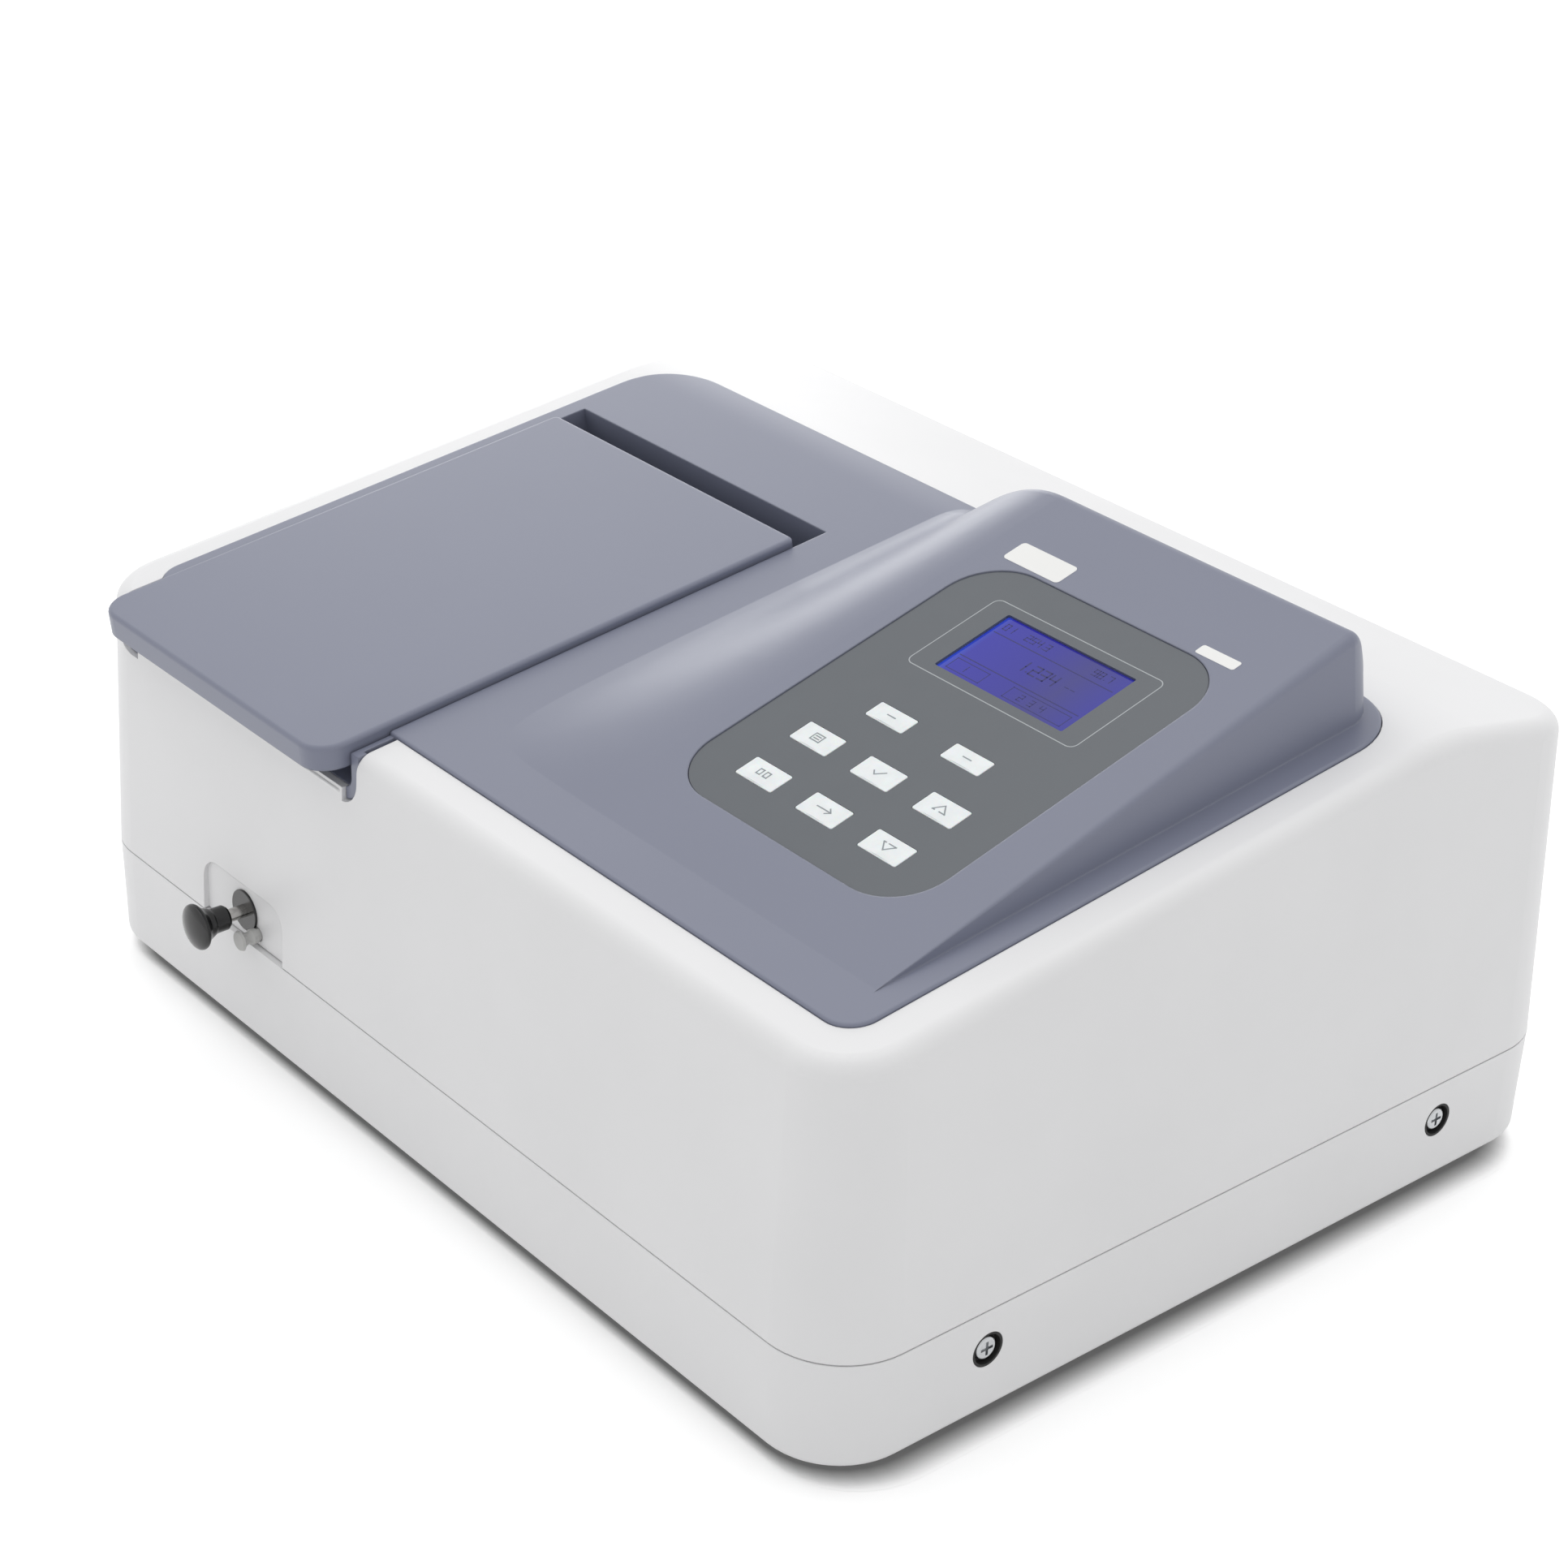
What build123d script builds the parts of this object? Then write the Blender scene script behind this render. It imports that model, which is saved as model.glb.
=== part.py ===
from build123d import *
from math import cos, pi, radians, sin, tan
import os

# A visible spectrophotometer for the laboratory bench. Sizes are in millimetres and degrees.
# x runs from the left wall to the right, y from the front wall to the back, z up from the bench top.
# place() moves each finished piece so that the origin is the middle of the instrument's footprint.

# Casing
WIDTH = 450.0            # left wall to right wall, at the seam
DEPTH = 352.0            # front wall to rear wall, at the seam
FOOT_H = 8.0             # rubber feet
BASE_H = 41.0            # base, from its underside to the seam
FRONT_H = 106.0          # top skin above the seam, where its slope meets the front wall's plane
TOP_SLOPE = 7.0          # the top rises to the back
RIDGE_Y = DEPTH - 78.0   # then turns over a ridge
RIDGE_R = 115.0
REAR_SLOPE = 11.4        # and falls to the rear wall
CORNER_R = 30.0          # upright corners
WALL_DRAFT = 2.2         # the walls lean in above the seam
BASE_DRAFT = 1.2         # and below it
EDGE_R = 7.0             # rounding between walls and top
BASE_EDGE_R = 2.5
WALL = 3.0
FLOOR = 3.0

# Top panel with its raised control pod
PANEL_LEFT = 20.5        # casing left showing beside the panel
PANEL_RIGHT = 22.5
PANEL_FRONT = 21.5
PANEL_FRONT_R = 11.0
PANEL_REAR_R = 29.0
PANEL_T = 3.0
PANEL_PROUD = 1.0        # panel's face above the casing's
PANEL_GAP = 0.4          # round the panel's edge
PANEL_FLANGE = 11.0      # ledge of the casing under the panel
PANEL_EDGE_R = 0.9
POD_SLOPE = 15.0
POD_DIP = 5.1            # pod face under the casing's, in the front wall's plane
POD_REAR_Y = RIDGE_Y - 14.5     # back edge of the pod's face, before rounding
POD_REAR_R = 4.5
POD_BACK_LEAN = 21.0     # lean of the pod's back wall
POD_RIGHT_X = WIDTH - 33.0
POD_SIDE_DRAFT = 8.0
POD_FOOT_Y = RIDGE_Y - 2.5      # foot of the pod's back wall
POD_CORNER_R = 20.0
POD_EDGE_R = 4.0
POD_SKIN = 4.5
RAMP_X0 = WIDTH - 250.0  # foot of the pod's left ramp
RAMP_BEND_0 = RAMP_X0 + 22.0
RAMP_BEND_1 = RAMP_X0 + 36.0
RAMP_X1 = RAMP_X0 + 68.0        # top of the ramp
RAMP_BURY = 0.15         # ramp's foot under the panel's face

# Keypad and display, measured on the pod's face
OVERLAY_W = 119.2
OVERLAY_L = 153.6
OVERLAY_R = 22.0
OVERLAY_T = 0.8
OVERLAY_SINK = 0.4       # film's face below the pod's
OVERLAY_X = WIDTH - 114.7
OVERLAY_V = 147.8        # middle of the film, up the pod's face
KEY_W = 18.6
KEY_L = 10.3
SOFT_KEY_L = 8.3
KEY_T = 1.2
KEY_R = 0.8
KEY_GAP = 0.15
KEY_PROUD = 0.15         # key's face above the film's
KEY_SHIFT = 0.9          # middle column right of the film's middle
KEY_PITCH = 31.2
KEY_ROWS = (-56.2, -32.1)       # from the film's middle
SOFT_KEY_X = 18.9
SOFT_KEY_ROW = -8.8
SOFT_KEY_SHIFT = 0.3
DOME_R = 7.2
DOME_H = 0.35
STEM_R = 2.0
BOARD_W = 108.0
BOARD_L = 74.0
BOARD_ROW = -31.8
BOARD_DROP = 3.0         # key board under the pod's skin
BOARD_T = 1.6
DISPLAY_W = 62.6
DISPLAY_L = 35.2
DISPLAY_SHIFT = 2.0
DISPLAY_ROW = 38.5       # from the film's middle
DISPLAY_SINK = 1.0       # glass below the film's face
DISPLAY_GLASS_T = 1.8
MODULE_MARGIN = 9.0
MODULE_T = 8.0

# Sample compartment lid, measured on the panel's sloping face
POCKET_X0 = 29.2
POCKET_X1 = RAMP_X0 - 18.0
POCKET_REAR = RIDGE_Y - 52.5
POCKET_DEPTH = 16.0
POCKET_WALL = 2.5
POCKET_R = 5.0
WELL_FRONT = POCKET_REAR - 30.5   # hinge well behind the compartment
WELL_DEPTH = 27.0
LID_GAP = 0.9            # lid to pocket, each side
LID_FRONT = -8.0
LID_REAR = POCKET_REAR - 14.5
LID_PROUD = 3.0          # lid's face above the panel's
LID_T = 3.0
LID_LIP = 9.5            # lid's front lip and skirts, top to bottom
LID_REAR_SKIRT = 8.0
LID_CORNER_R = 12.0
LID_REAR_R = 2.8
LID_EDGE_R = 1.6
TONGUE_H = 91.6          # casing's tongue under the lid's lip, above the seam
TONGUE_SIDE = 9.3        # tongue's left end from the pocket's side
TONGUE_END = 4.0
NOTCH_WALL = 4.6         # pocket's front flange in the casing's notch
HINGE_V = LID_REAR - 7.5
HINGE_DROP = 9.0         # hinge axis below the panel's face
HINGE_PIN_R = 2.0
HINGE_EYE_R = 4.6
HINGE_EAR_W = 8.0
HINGE_INSET = 22.0       # ears in from the lid's sides
CHEEK_T = 2.0
RUN_FIT = 0.05           # radial clearance of a running fit
SEAT = 0.3               # clearance where one piece is seated by another

# Front recess with the pull rod
ROD_X = (POCKET_X0 + POCKET_X1) / 2 + 5.2
ROD_UP = 11.1            # rod axis above the seam
ROD_R = 2.5
RECESS_X = ROD_X + 0.6
RECESS_W = 54.5
RECESS_H = 23.0
RECESS_D = 2.2
RECESS_R = 9.0
RECESS_WALL = 3.0
ESCUTCHEON_R = 8.2
ESCUTCHEON_T = 0.9
BUSH_R = 4.5
KNOB_R = 8.9
KNOB_COLLAR_R = 4.8
KNOB_FRONT = 22.0        # knob's face in front of the front wall
KNOB_LENGTH = 15.8
DRAIN_X = ROD_X + 8.4
DRAIN_UP = 4.5
DRAIN_R = 2.5
DRAIN_BORE_R = 1.5
PLUG_R = 3.0
PLUG_FLARE_R = 4.0
PLUG_LENGTH = 7.2

# Seam and side screws
SEAM_GAP = 0.5
LIP_T = 1.2
LIP_H = 4.0
SCREW_YS = (67.8, DEPTH - 65.8)
SCREW_DROP = 16.0        # below the seam
CUP_R = 6.5
CUP_LENGTH = 4.2
CUP_DEPTH = 2.6
CUP_RIM = 0.9
SCREW_R = 2.0
SCREW_HEAD_R = 4.4
SCREW_HEAD_H = 2.2
SCREW_LENGTH = 9.0
TAB_X = 4.8
TAB_T = 6.0
TAB_W = 24.0
FOOT_R = 14.0
FOOT_TIP_R = 12.0
FOOT_INSET = 45.0
FOOT_SEAT = 1.5

# Sample compartment
TUB_WALL = 2.5
TUB_W = POCKET_X1 - POCKET_X0 - 23.8
TUB_FRONT = 31.0
TUB_REAR = WELL_FRONT - 7.0
TUB_BASE_Z = 45.0
TUB_FLANGE = 4.0
TUB_FLANGE_T = 2.0
COAMING_T = 2.5
COAMING_DROP = 4.2       # rim round the opening, below the panel's face
SEAL_T = 3.6
CELL = 12.9              # square pocket for a cell
CELL_PITCH = 19.0
CELL_COUNT = 4
CELL_END = 5.0
CELL_FLOOR_Z = 60.0
CARRIAGE_TOP = 92.0
CARRIAGE_W = 28.0
CARRIAGE_BACK_GAP = 5.5
SLED_W = 64.0
SLED_T = 8.0
SLED_Z = 49.5
RAIL_SPACING = 48.0
RAIL_R = 3.0
RAIL_BLOCK_L = 4.0
SPRING_T = 0.4
SPRING_W = 6.0
SPRING_H = 22.0
SPRING_POCKET = 1.6
NOTCH_R = 1.6
BEAM_UP = 15.0           # beam above the foot of a cell
BEAM_R = 5.0

# Optical bench and what stands on it
BENCH_Z = 20.0
BENCH_T = 8.0
BENCH_EDGE = 16.0
BENCH_RIB = 14.0
POST_R = 7.0
MONO_X0 = RAMP_X0 + 6.0
MONO_X1 = WIDTH - 20.0
MONO_Y0 = 60.0
MONO_Y1 = DEPTH - 90.0
MONO_H = 82.0
MONO_WALL = 4.0
COVER_T = 3.0
ENTRANCE_Y = MONO_Y1 - 26.0
SLIT_W = 1.2
SLIT_H = 10.0
SLIT_PLATE = 22.0
SLIT_PLATE_T = 1.0
MIRROR_X = MONO_X1 - 22.0
MIRROR_R = 20.0
MIRROR_T = 7.0
MIRROR_HOLLOW_R = 160.0
GRATING_X = MONO_X0 + 84.0
GRATING_Y = ENTRANCE_Y - 64.0
GRATING = 30.0
GRATING_T = 6.0
TABLE_R = 20.0
TABLE_T = 5.0
BIG_PULLEY_R = 24.0
SMALL_PULLEY_R = 6.0
PULLEY_T = 8.0
BELT_T = 1.2
BELT_W = 6.0
MOTOR_X = GRATING_X + 56.0
MOTOR_SIZE = 42.0
MOTOR_H = 26.0
SHAFT_R = 2.5
LAMP_X0 = MONO_X0 - 98.0
LAMP_X1 = MONO_X0 - 14.0
LAMP_Y0 = ENTRANCE_Y - 32.0
LAMP_Y1 = ENTRANCE_Y + 40.0
LAMP_H = 74.0
LAMP_WALL = 2.5
LAMP_X = MONO_X0 - 54.0
BULB_R = 6.5
WHEEL_R = 26.0
WHEEL_T = 3.0
WHEEL_X = MONO_X0 - 7.0
FILTER_RING_R = 17.0
FILTER_R = 6.0
LENS_R = 13.0
LENS_X = MONO_X0 - 18.0
DETECTOR_X0 = 8.0
DETECTOR_X1 = 38.0
DETECTOR_W = 34.0
DETECTOR_H = 34.0
FAN_X = LAMP_X - 2.0
FAN_Z = 84.0
FAN_SIZE = 60.0
FAN_T = 20.0
FAN_GAP = 3.5            # frame to the rear wall's plane
ROTOR_HUB_R = 13.0
ROTOR_R = 26.5
SUPPLY_X0 = WIDTH - 144.0
SUPPLY_X1 = WIDTH - 24.0
SUPPLY_Y0 = DEPTH - 82.0
SUPPLY_Y1 = DEPTH - 18.0
SUPPLY_H = 36.0
BOARD_X0 = MONO_X0
BOARD_X1 = SUPPLY_X0 - 6.0

# Rear fittings
PORT_X0 = WIDTH - 188.0
PORT_X1 = WIDTH - 26.0
PORT_Z0 = 58.0
PORT_Z1 = 108.0
PORT_SINK = 9.0          # port plate's face in from the rear wall's plane
PLATE_T = 1.5
INLET_X = PORT_X1 - 30.0
INLET_W = 28.0
INLET_H = 20.0
INLET_DEPTH = 22.0
SWITCH_X = PORT_X1 - 70.0
SWITCH_W = 15.0
SWITCH_H = 21.0
SWITCH_TILT = 9.0
USB_X = PORT_X1 - 106.0
SERIAL_X = PORT_X1 - 138.0
PORT_Z = 83.0

FAR = 60.0
SEAM_Z = FOOT_H + BASE_H
MID_X = WIDTH / 2
DISPLAY_X = OVERLAY_X + DISPLAY_SHIFT
DISPLAY_V = OVERLAY_V + DISPLAY_ROW
FOOTPRINT_MID_Y = (DEPTH - KNOB_FRONT) / 2


def slab(x0, x1, y0, y1, z0, z1):
    return Pos((x0 + x1) / 2, (y0 + y1) / 2, (z0 + z1) / 2) * Box(x1 - x0, y1 - y0, z1 - z0)


def rod_x(x0, x1, y, z, radius):
    return Pos((x0 + x1) / 2, y, z) * Rot(0, 90, 0) * Cylinder(radius, x1 - x0)


def rod_y(x, y0, y1, z, radius):
    return Pos(x, (y0 + y1) / 2, z) * Rot(90, 0, 0) * Cylinder(radius, y1 - y0)


def rod_z(x, y, z0, z1, radius):
    return Pos(x, y, (z0 + z1) / 2) * Cylinder(radius, z1 - z0)


def top_z(y):
    """Height of the casing's sloping top at y."""
    return SEAM_Z + FRONT_H + y * tan(radians(TOP_SLOPE))


def panel_z(y):
    return top_z(y) + PANEL_PROUD


def pod_z(y):
    return SEAM_Z + FRONT_H - POD_DIP + y * tan(radians(POD_SLOPE))


# Frames on the two sloping faces: x to the right, then up the slope, then out of the face
PANEL_FACE = Plane((0, 0, panel_z(0)), x_dir=(1, 0, 0),
                   z_dir=(0, -sin(radians(TOP_SLOPE)), cos(radians(TOP_SLOPE))))
POD_FACE = Plane((0, 0, pod_z(0)), x_dir=(1, 0, 0),
                 z_dir=(0, -sin(radians(POD_SLOPE)), cos(radians(POD_SLOPE))))


def under_top(lift):
    """All that lies under the casing's top skin, with the skin moved up by lift."""
    start = -FAR
    end = DEPTH + FAR
    end_z = top_z(RIDGE_Y) - (end - RIDGE_Y) * tan(radians(REAR_SLOPE))
    side = make_face(Polyline((start, 0), (start, top_z(start)), (RIDGE_Y, top_z(RIDGE_Y)),
                              (end, end_z), (end, 0), close=True))
    ridge = side.vertices().sort_by(Axis.Y)[-1]
    side = fillet(ridge, RIDGE_R)
    prism = extrude(Plane.YZ * side, WIDTH + 2 * FAR)
    return Pos(-FAR, 0, lift) * prism


def under_panel(drop):
    """All that lies more than drop under the plane of the panel's face."""
    return PANEL_FACE * slab(-FAR, WIDTH + FAR, -FAR, DEPTH + FAR, -3 * DEPTH, -drop)


def rounded_plan(x0, x1, y0, y1, front_r, rear_r):
    """A plan rectangle whose front and rear corners have their own radii."""
    plan = make_face(Polyline((x0, y0), (x1, y0), (x1, y1), (x0, y1), close=True))
    plan = fillet(plan.vertices().group_by(Axis.Y)[0], front_r)
    return fillet(plan.vertices().group_by(Axis.Y)[-1], rear_r)


def drafted_block(inset, z0, z1, draft):
    """The casing's plan, drawn in by inset and run from z0 to z1, leaning in by draft."""
    plan = RectangleRounded(WIDTH - 2 * inset, DEPTH - 2 * inset, CORNER_R - inset)
    up = 1 if z1 > z0 else -1
    seat = Plane((MID_X, DEPTH / 2, z0), x_dir=(1, 0, 0), z_dir=(0, 0, up))
    return extrude(seat * plan, abs(z1 - z0), taper=draft)


def casing_form(inset):
    """The upper casing as a solid, drawn in by inset."""
    tall = drafted_block(inset, SEAM_Z, top_z(RIDGE_Y) + EDGE_R, WALL_DRAFT)
    return tall & under_top(-inset)


def rounded_casing():
    form = casing_form(0)
    rim = ShapeList()
    for edge in form.edges():
        box = edge.bounding_box()
        across = abs(box.size.Y) < 0.1 and CORNER_R < box.min.Y < DEPTH - CORNER_R
        if box.min.Z > SEAM_Z + BASE_H and not across:
            rim.append(edge)
    return fillet(rim, EDGE_R)


def panel_plan(inset):
    return rounded_plan(PANEL_LEFT + inset, WIDTH - PANEL_RIGHT - inset, PANEL_FRONT + inset,
                        RIDGE_Y - inset, PANEL_FRONT_R - min(inset, PANEL_FRONT_R - 2),
                        PANEL_REAR_R - inset)


def pocket_block(grow):
    """The lid's pocket: its air with grow 0, its outer form with grow the wall."""
    air = slab(POCKET_X0 - grow, POCKET_X1 + grow, -FAR, POCKET_REAR + grow,
               -POCKET_DEPTH - grow, FAR / 2)
    foot = air.edges().filter_by(Axis.Y).group_by(Axis.Z)[0]
    air = fillet(foot, POCKET_R + grow)
    well = slab(POCKET_X0 - grow, POCKET_X1 + grow, WELL_FRONT - grow, POCKET_REAR + grow,
                -WELL_DEPTH - grow, 0)
    return PANEL_FACE * (air + well)


def tongue(grow):
    """Block that holds the casing's tongue in front of the lid's pocket."""
    return slab(POCKET_X0 + TONGUE_SIDE - grow, POCKET_X1 - TONGUE_END + grow, -FAR,
                TONGUE_H * tan(radians(WALL_DRAFT)) + WALL + grow / 2, 0, SEAM_Z + TONGUE_H + grow)


def skin_z(y):
    """Height of the panel's face at y, ridge included."""
    bend = radians((TOP_SLOPE + REAR_SLOPE) / 2)
    start = RIDGE_Y - RIDGE_R * tan(bend) * cos(radians(TOP_SLOPE))
    if y < start:
        return panel_z(y)
    mid_y = start + RIDGE_R * sin(radians(TOP_SLOPE))
    mid_z = panel_z(start) - RIDGE_R * cos(radians(TOP_SLOPE))
    return mid_z + (RIDGE_R ** 2 - (y - mid_y) ** 2) ** 0.5


def column(plan):
    return extrude(plan, 4 * RIDGE_R)


def rounded_slab(x0, x1, y0, y1, z0, z1, radius):
    plate = Pos((x0 + x1) / 2, (y0 + y1) / 2, z0) * RectangleRounded(x1 - x0, y1 - y0, radius)
    return extrude(plate, z1 - z0)


TUB_X0 = (POCKET_X0 + POCKET_X1) / 2 - TUB_W / 2
TUB_X1 = TUB_X0 + TUB_W
ROD_Z = SEAM_Z + ROD_UP
SCREW_Z = SEAM_Z - SCREW_DROP
BEAM_Z = CELL_FLOOR_Z + BEAM_UP
CARRIAGE_L = (CELL_COUNT - 1) * CELL_PITCH + CELL + 2 * CELL_END
CARRIAGE_Y1 = TUB_REAR - TUB_WALL - CARRIAGE_BACK_GAP
CARRIAGE_Y0 = CARRIAGE_Y1 - CARRIAGE_L
BEAM_Y = CARRIAGE_Y0 + CELL_END + CELL / 2
BENCH_TOP = BENCH_Z + BENCH_T
DRAIN_Y0 = RECESS_D - ESCUTCHEON_T - 0.4
STAND_Z = BENCH_TOP + SEAT


# Casing

def recess_cut(depth, grow):
    """Air of the front recess, or with grow the block that backs it."""
    half = RECESS_W / 2 + grow
    top = SEAM_Z + RECESS_H + grow
    face = make_face(Polyline((RECESS_X - half, FOOT_H), (RECESS_X + half, FOOT_H),
                              (RECESS_X + half, top), (RECESS_X - half, top), close=True))
    face = fillet(face.vertices().group_by(Axis.Y)[-1], RECESS_R + grow)
    return Pos(0, depth, 0) * extrude(Plane.XZ * face, FAR)


def upper_housing():
    shell = rounded_casing() - casing_form(WALL)
    ledge = column(panel_plan(-6)) - column(panel_plan(PANEL_FLANGE))
    under = PANEL_PROUD - PANEL_T - SEAT
    shell += ledge & (under_top(under) - under_top(under - PANEL_T))
    back = recess_cut(RECESS_D + RECESS_WALL, RECESS_WALL) & casing_form(WALL / 2)
    shell += back
    shell -= column(panel_plan(-PANEL_GAP)) - under_top(under)
    shell -= column(panel_plan(PANEL_FLANGE)) & slab(0, WIDTH, 0, DEPTH, SEAM_Z + BASE_H, 300)
    shell -= pocket_block(NOTCH_WALL + PANEL_GAP) - tongue(0)
    shell -= recess_cut(RECESS_D, 0)
    shell -= rod_y(ROD_X, 0, FAR / 2, ROD_Z, BUSH_R + SEAT)
    shell -= rod_y(DRAIN_X, 0, FAR / 2, SEAM_Z + DRAIN_UP, DRAIN_R + SEAT)
    ports = slab(PORT_X0, PORT_X1, DEPTH - FAR / 4, DEPTH + 5, PORT_Z0, PORT_Z1)
    shell -= fillet(ports.edges().filter_by(Axis.Y), 3)
    for step in range(-3, 4):
        slot = slab(FAN_X - 26, FAN_X + 26, DEPTH - 12, DEPTH + 5, -2, 2)
        slot = fillet(slot.edges().filter_by(Axis.Y), 1.9)
        shell -= Pos(0, 0, FAN_Z + step * 8) * slot
    shell -= slab(-5, WIDTH + 5, -5, DEPTH + 5, 0, SEAM_Z + SEAM_GAP / 2)
    for y in SCREW_YS:
        for mirror_x in (False, True):
            tab = slab(TAB_X, TAB_X + TAB_T, y - TAB_W / 2, y + TAB_W / 2,
                       SCREW_Z - 8, SEAM_Z + 26)
            tab += slab(WALL / 2, TAB_X + TAB_T, y - TAB_W / 2, y + TAB_W / 2,
                        SEAM_Z + LIP_H + 2, SEAM_Z + 26)
            tab -= rod_x(0, FAR, y, SCREW_Z, SCREW_R + RUN_FIT)
            if mirror_x:
                tab = Pos(WIDTH, 0, 0) * mirror(tab, Plane.YZ)
            shell += tab
    return shell


def base_form(inset, z0):
    return drafted_block(inset, SEAM_Z - SEAM_GAP / 2, z0, BASE_DRAFT)


def base_housing():
    body = base_form(0, FOOT_H)
    body = fillet(body.faces().sort_by(Axis.Z)[0].edges(), BASE_EDGE_R)
    body -= base_form(WALL, FOOT_H + FLOOR)
    lip_out = WALL + SEAT
    lip = extrude(Plane((MID_X, DEPTH / 2, SEAM_Z - 8))
                  * RectangleRounded(WIDTH - 2 * WALL + 0.4, DEPTH - 2 * WALL + 0.4, CORNER_R - WALL),
                  8 - SEAM_GAP / 2)
    lip += extrude(Plane((MID_X, DEPTH / 2, SEAM_Z - 1))
                   * RectangleRounded(WIDTH - 2 * lip_out, DEPTH - 2 * lip_out, CORNER_R - lip_out),
                   LIP_H + 1)
    inner = lip_out + LIP_T
    lip -= extrude(Plane((MID_X, DEPTH / 2, 0))
                   * RectangleRounded(WIDTH - 2 * inner, DEPTH - 2 * inner, CORNER_R - inner), 100)
    lip -= recess_cut(RECESS_D + RECESS_WALL + SEAT, RECESS_WALL + SEAT)
    for y in SCREW_YS:
        lip -= slab(-5, WIDTH + 5, y - TAB_W / 2 - 1, y + TAB_W / 2 + 1, 0, 100)
    body += lip
    for y in SCREW_YS:
        for x in (0, WIDTH):
            body -= Pos(x, y, SCREW_Z) * Rot(0, 90, 0) * Cylinder(CUP_R + RUN_FIT, 20)
    for x in (FOOT_INSET, WIDTH - FOOT_INSET):
        for y in (FOOT_INSET, DEPTH - FOOT_INSET):
            body -= rod_z(x, y, 0, FOOT_H + FOOT_SEAT, FOOT_R + SEAT)
            body += rod_z(x, y, FOOT_H + FOOT_SEAT, FOOT_H + FOOT_SEAT + FLOOR, FOOT_R + 4)
            body -= rod_z(x, y, 0, FOOT_H + 20, 2.2)
    for step in range(8):
        slot = rounded_slab(LAMP_X0 + 4 + step * 10, LAMP_X0 + 8 + step * 10, LAMP_Y0 + 6,
                            LAMP_Y1 - 6, FOOT_H - 1, FOOT_H + FLOOR + 1, 1.9)
        body -= slot
    return body


def rubber_feet():
    feet = ShapeList()
    for x in (FOOT_INSET, WIDTH - FOOT_INSET):
        for y in (FOOT_INSET, DEPTH - FOOT_INSET):
            cone = Pos(x, y, FOOT_H / 2) * Cone(FOOT_TIP_R, FOOT_R, FOOT_H)
            cone = fillet(cone.edges().sort_by(Axis.Z)[0], 1.5)
            foot = cone + rod_z(x, y, FOOT_H, FOOT_H + FOOT_SEAT - SEAT, FOOT_R)
            foot -= rod_z(x, y, -1, 4, 4.5)
            foot -= rod_z(x, y, 0, 20, 2.1)
            feet.append(foot)
    return Compound(children=feet)


def screw_cups():
    cups = ShapeList()
    for y in SCREW_YS:
        for at, turn in ((0.4, 90), (WIDTH - 0.4, -90)):
            cup = Cylinder(CUP_R, CUP_LENGTH, align=(Align.CENTER, Align.CENTER, Align.MIN))
            cup -= Cylinder(CUP_R - CUP_RIM, CUP_DEPTH, align=(Align.CENTER, Align.CENTER, Align.MIN))
            cup -= Cylinder(SCREW_R + RUN_FIT, FAR)
            cups.append(Pos(at, y, SCREW_Z) * Rot(0, turn, 0) * cup)
    return Compound(children=cups)


def side_screws():
    screws = ShapeList()
    for y in SCREW_YS:
        for at, turn in ((0.4, 90), (WIDTH - 0.4, -90)):
            seat = CUP_DEPTH - SCREW_HEAD_H
            head = Pos(0, 0, seat) * Cylinder(SCREW_HEAD_R, SCREW_HEAD_H,
                                              align=(Align.CENTER, Align.CENTER, Align.MIN))
            head = fillet(head.edges().sort_by(Axis.Z)[0], 1.3)
            head -= Box(5.2, 1.1, 2 * (seat + 1.2))
            head -= Box(1.1, 5.2, 2 * (seat + 1.2))
            head += Cylinder(SCREW_R, SCREW_LENGTH + CUP_DEPTH - 1,
                             align=(Align.CENTER, Align.CENTER, Align.MIN)) - Cylinder(9, 2 * CUP_DEPTH - 1)
            screws.append(Pos(at, y, SCREW_Z) * Rot(0, turn, 0) * head)
    return Compound(children=screws)


# Top panel and control pod

def pod_section(y, share, edge_r):
    """Outline of the pod across the panel at y; share is its part of the full height."""
    foot = skin_z(y) - RAMP_BURY
    top = foot + share * (pod_z(y) - foot)
    rise = top - foot
    base = foot - PANEL_T * 0.7
    wall_y = POD_FOOT_Y - POD_CORNER_R
    right = POD_RIGHT_X
    if y > wall_y:
        right -= POD_CORNER_R - max(POD_CORNER_R ** 2 - (y - wall_y) ** 2, 0) ** 0.5
    lean = max(rise, 0) * tan(radians(POD_SIDE_DRAFT))
    radius = min(edge_r, max(0.35 * abs(rise), 0.05))
    drop = radius if rise > 0 else -radius
    outline = Polyline((RAMP_X0, base), (RAMP_X0, foot))
    outline += Bezier((RAMP_X0, foot), (RAMP_BEND_0, foot), (RAMP_BEND_1, top), (RAMP_X1, top))
    outline += Line((RAMP_X1, top), (right - lean - radius, top))
    outline += Bezier((right - lean - radius, top), (right - lean - 0.4 * radius, top),
                      (right - lean, top - 0.4 * drop), (right - lean, top - drop))
    outline += Polyline((right - lean, top - drop), (right, base), (RAMP_X0, base))
    return Pos(0, y, 0) * (Plane.XZ * make_face(outline))


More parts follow.
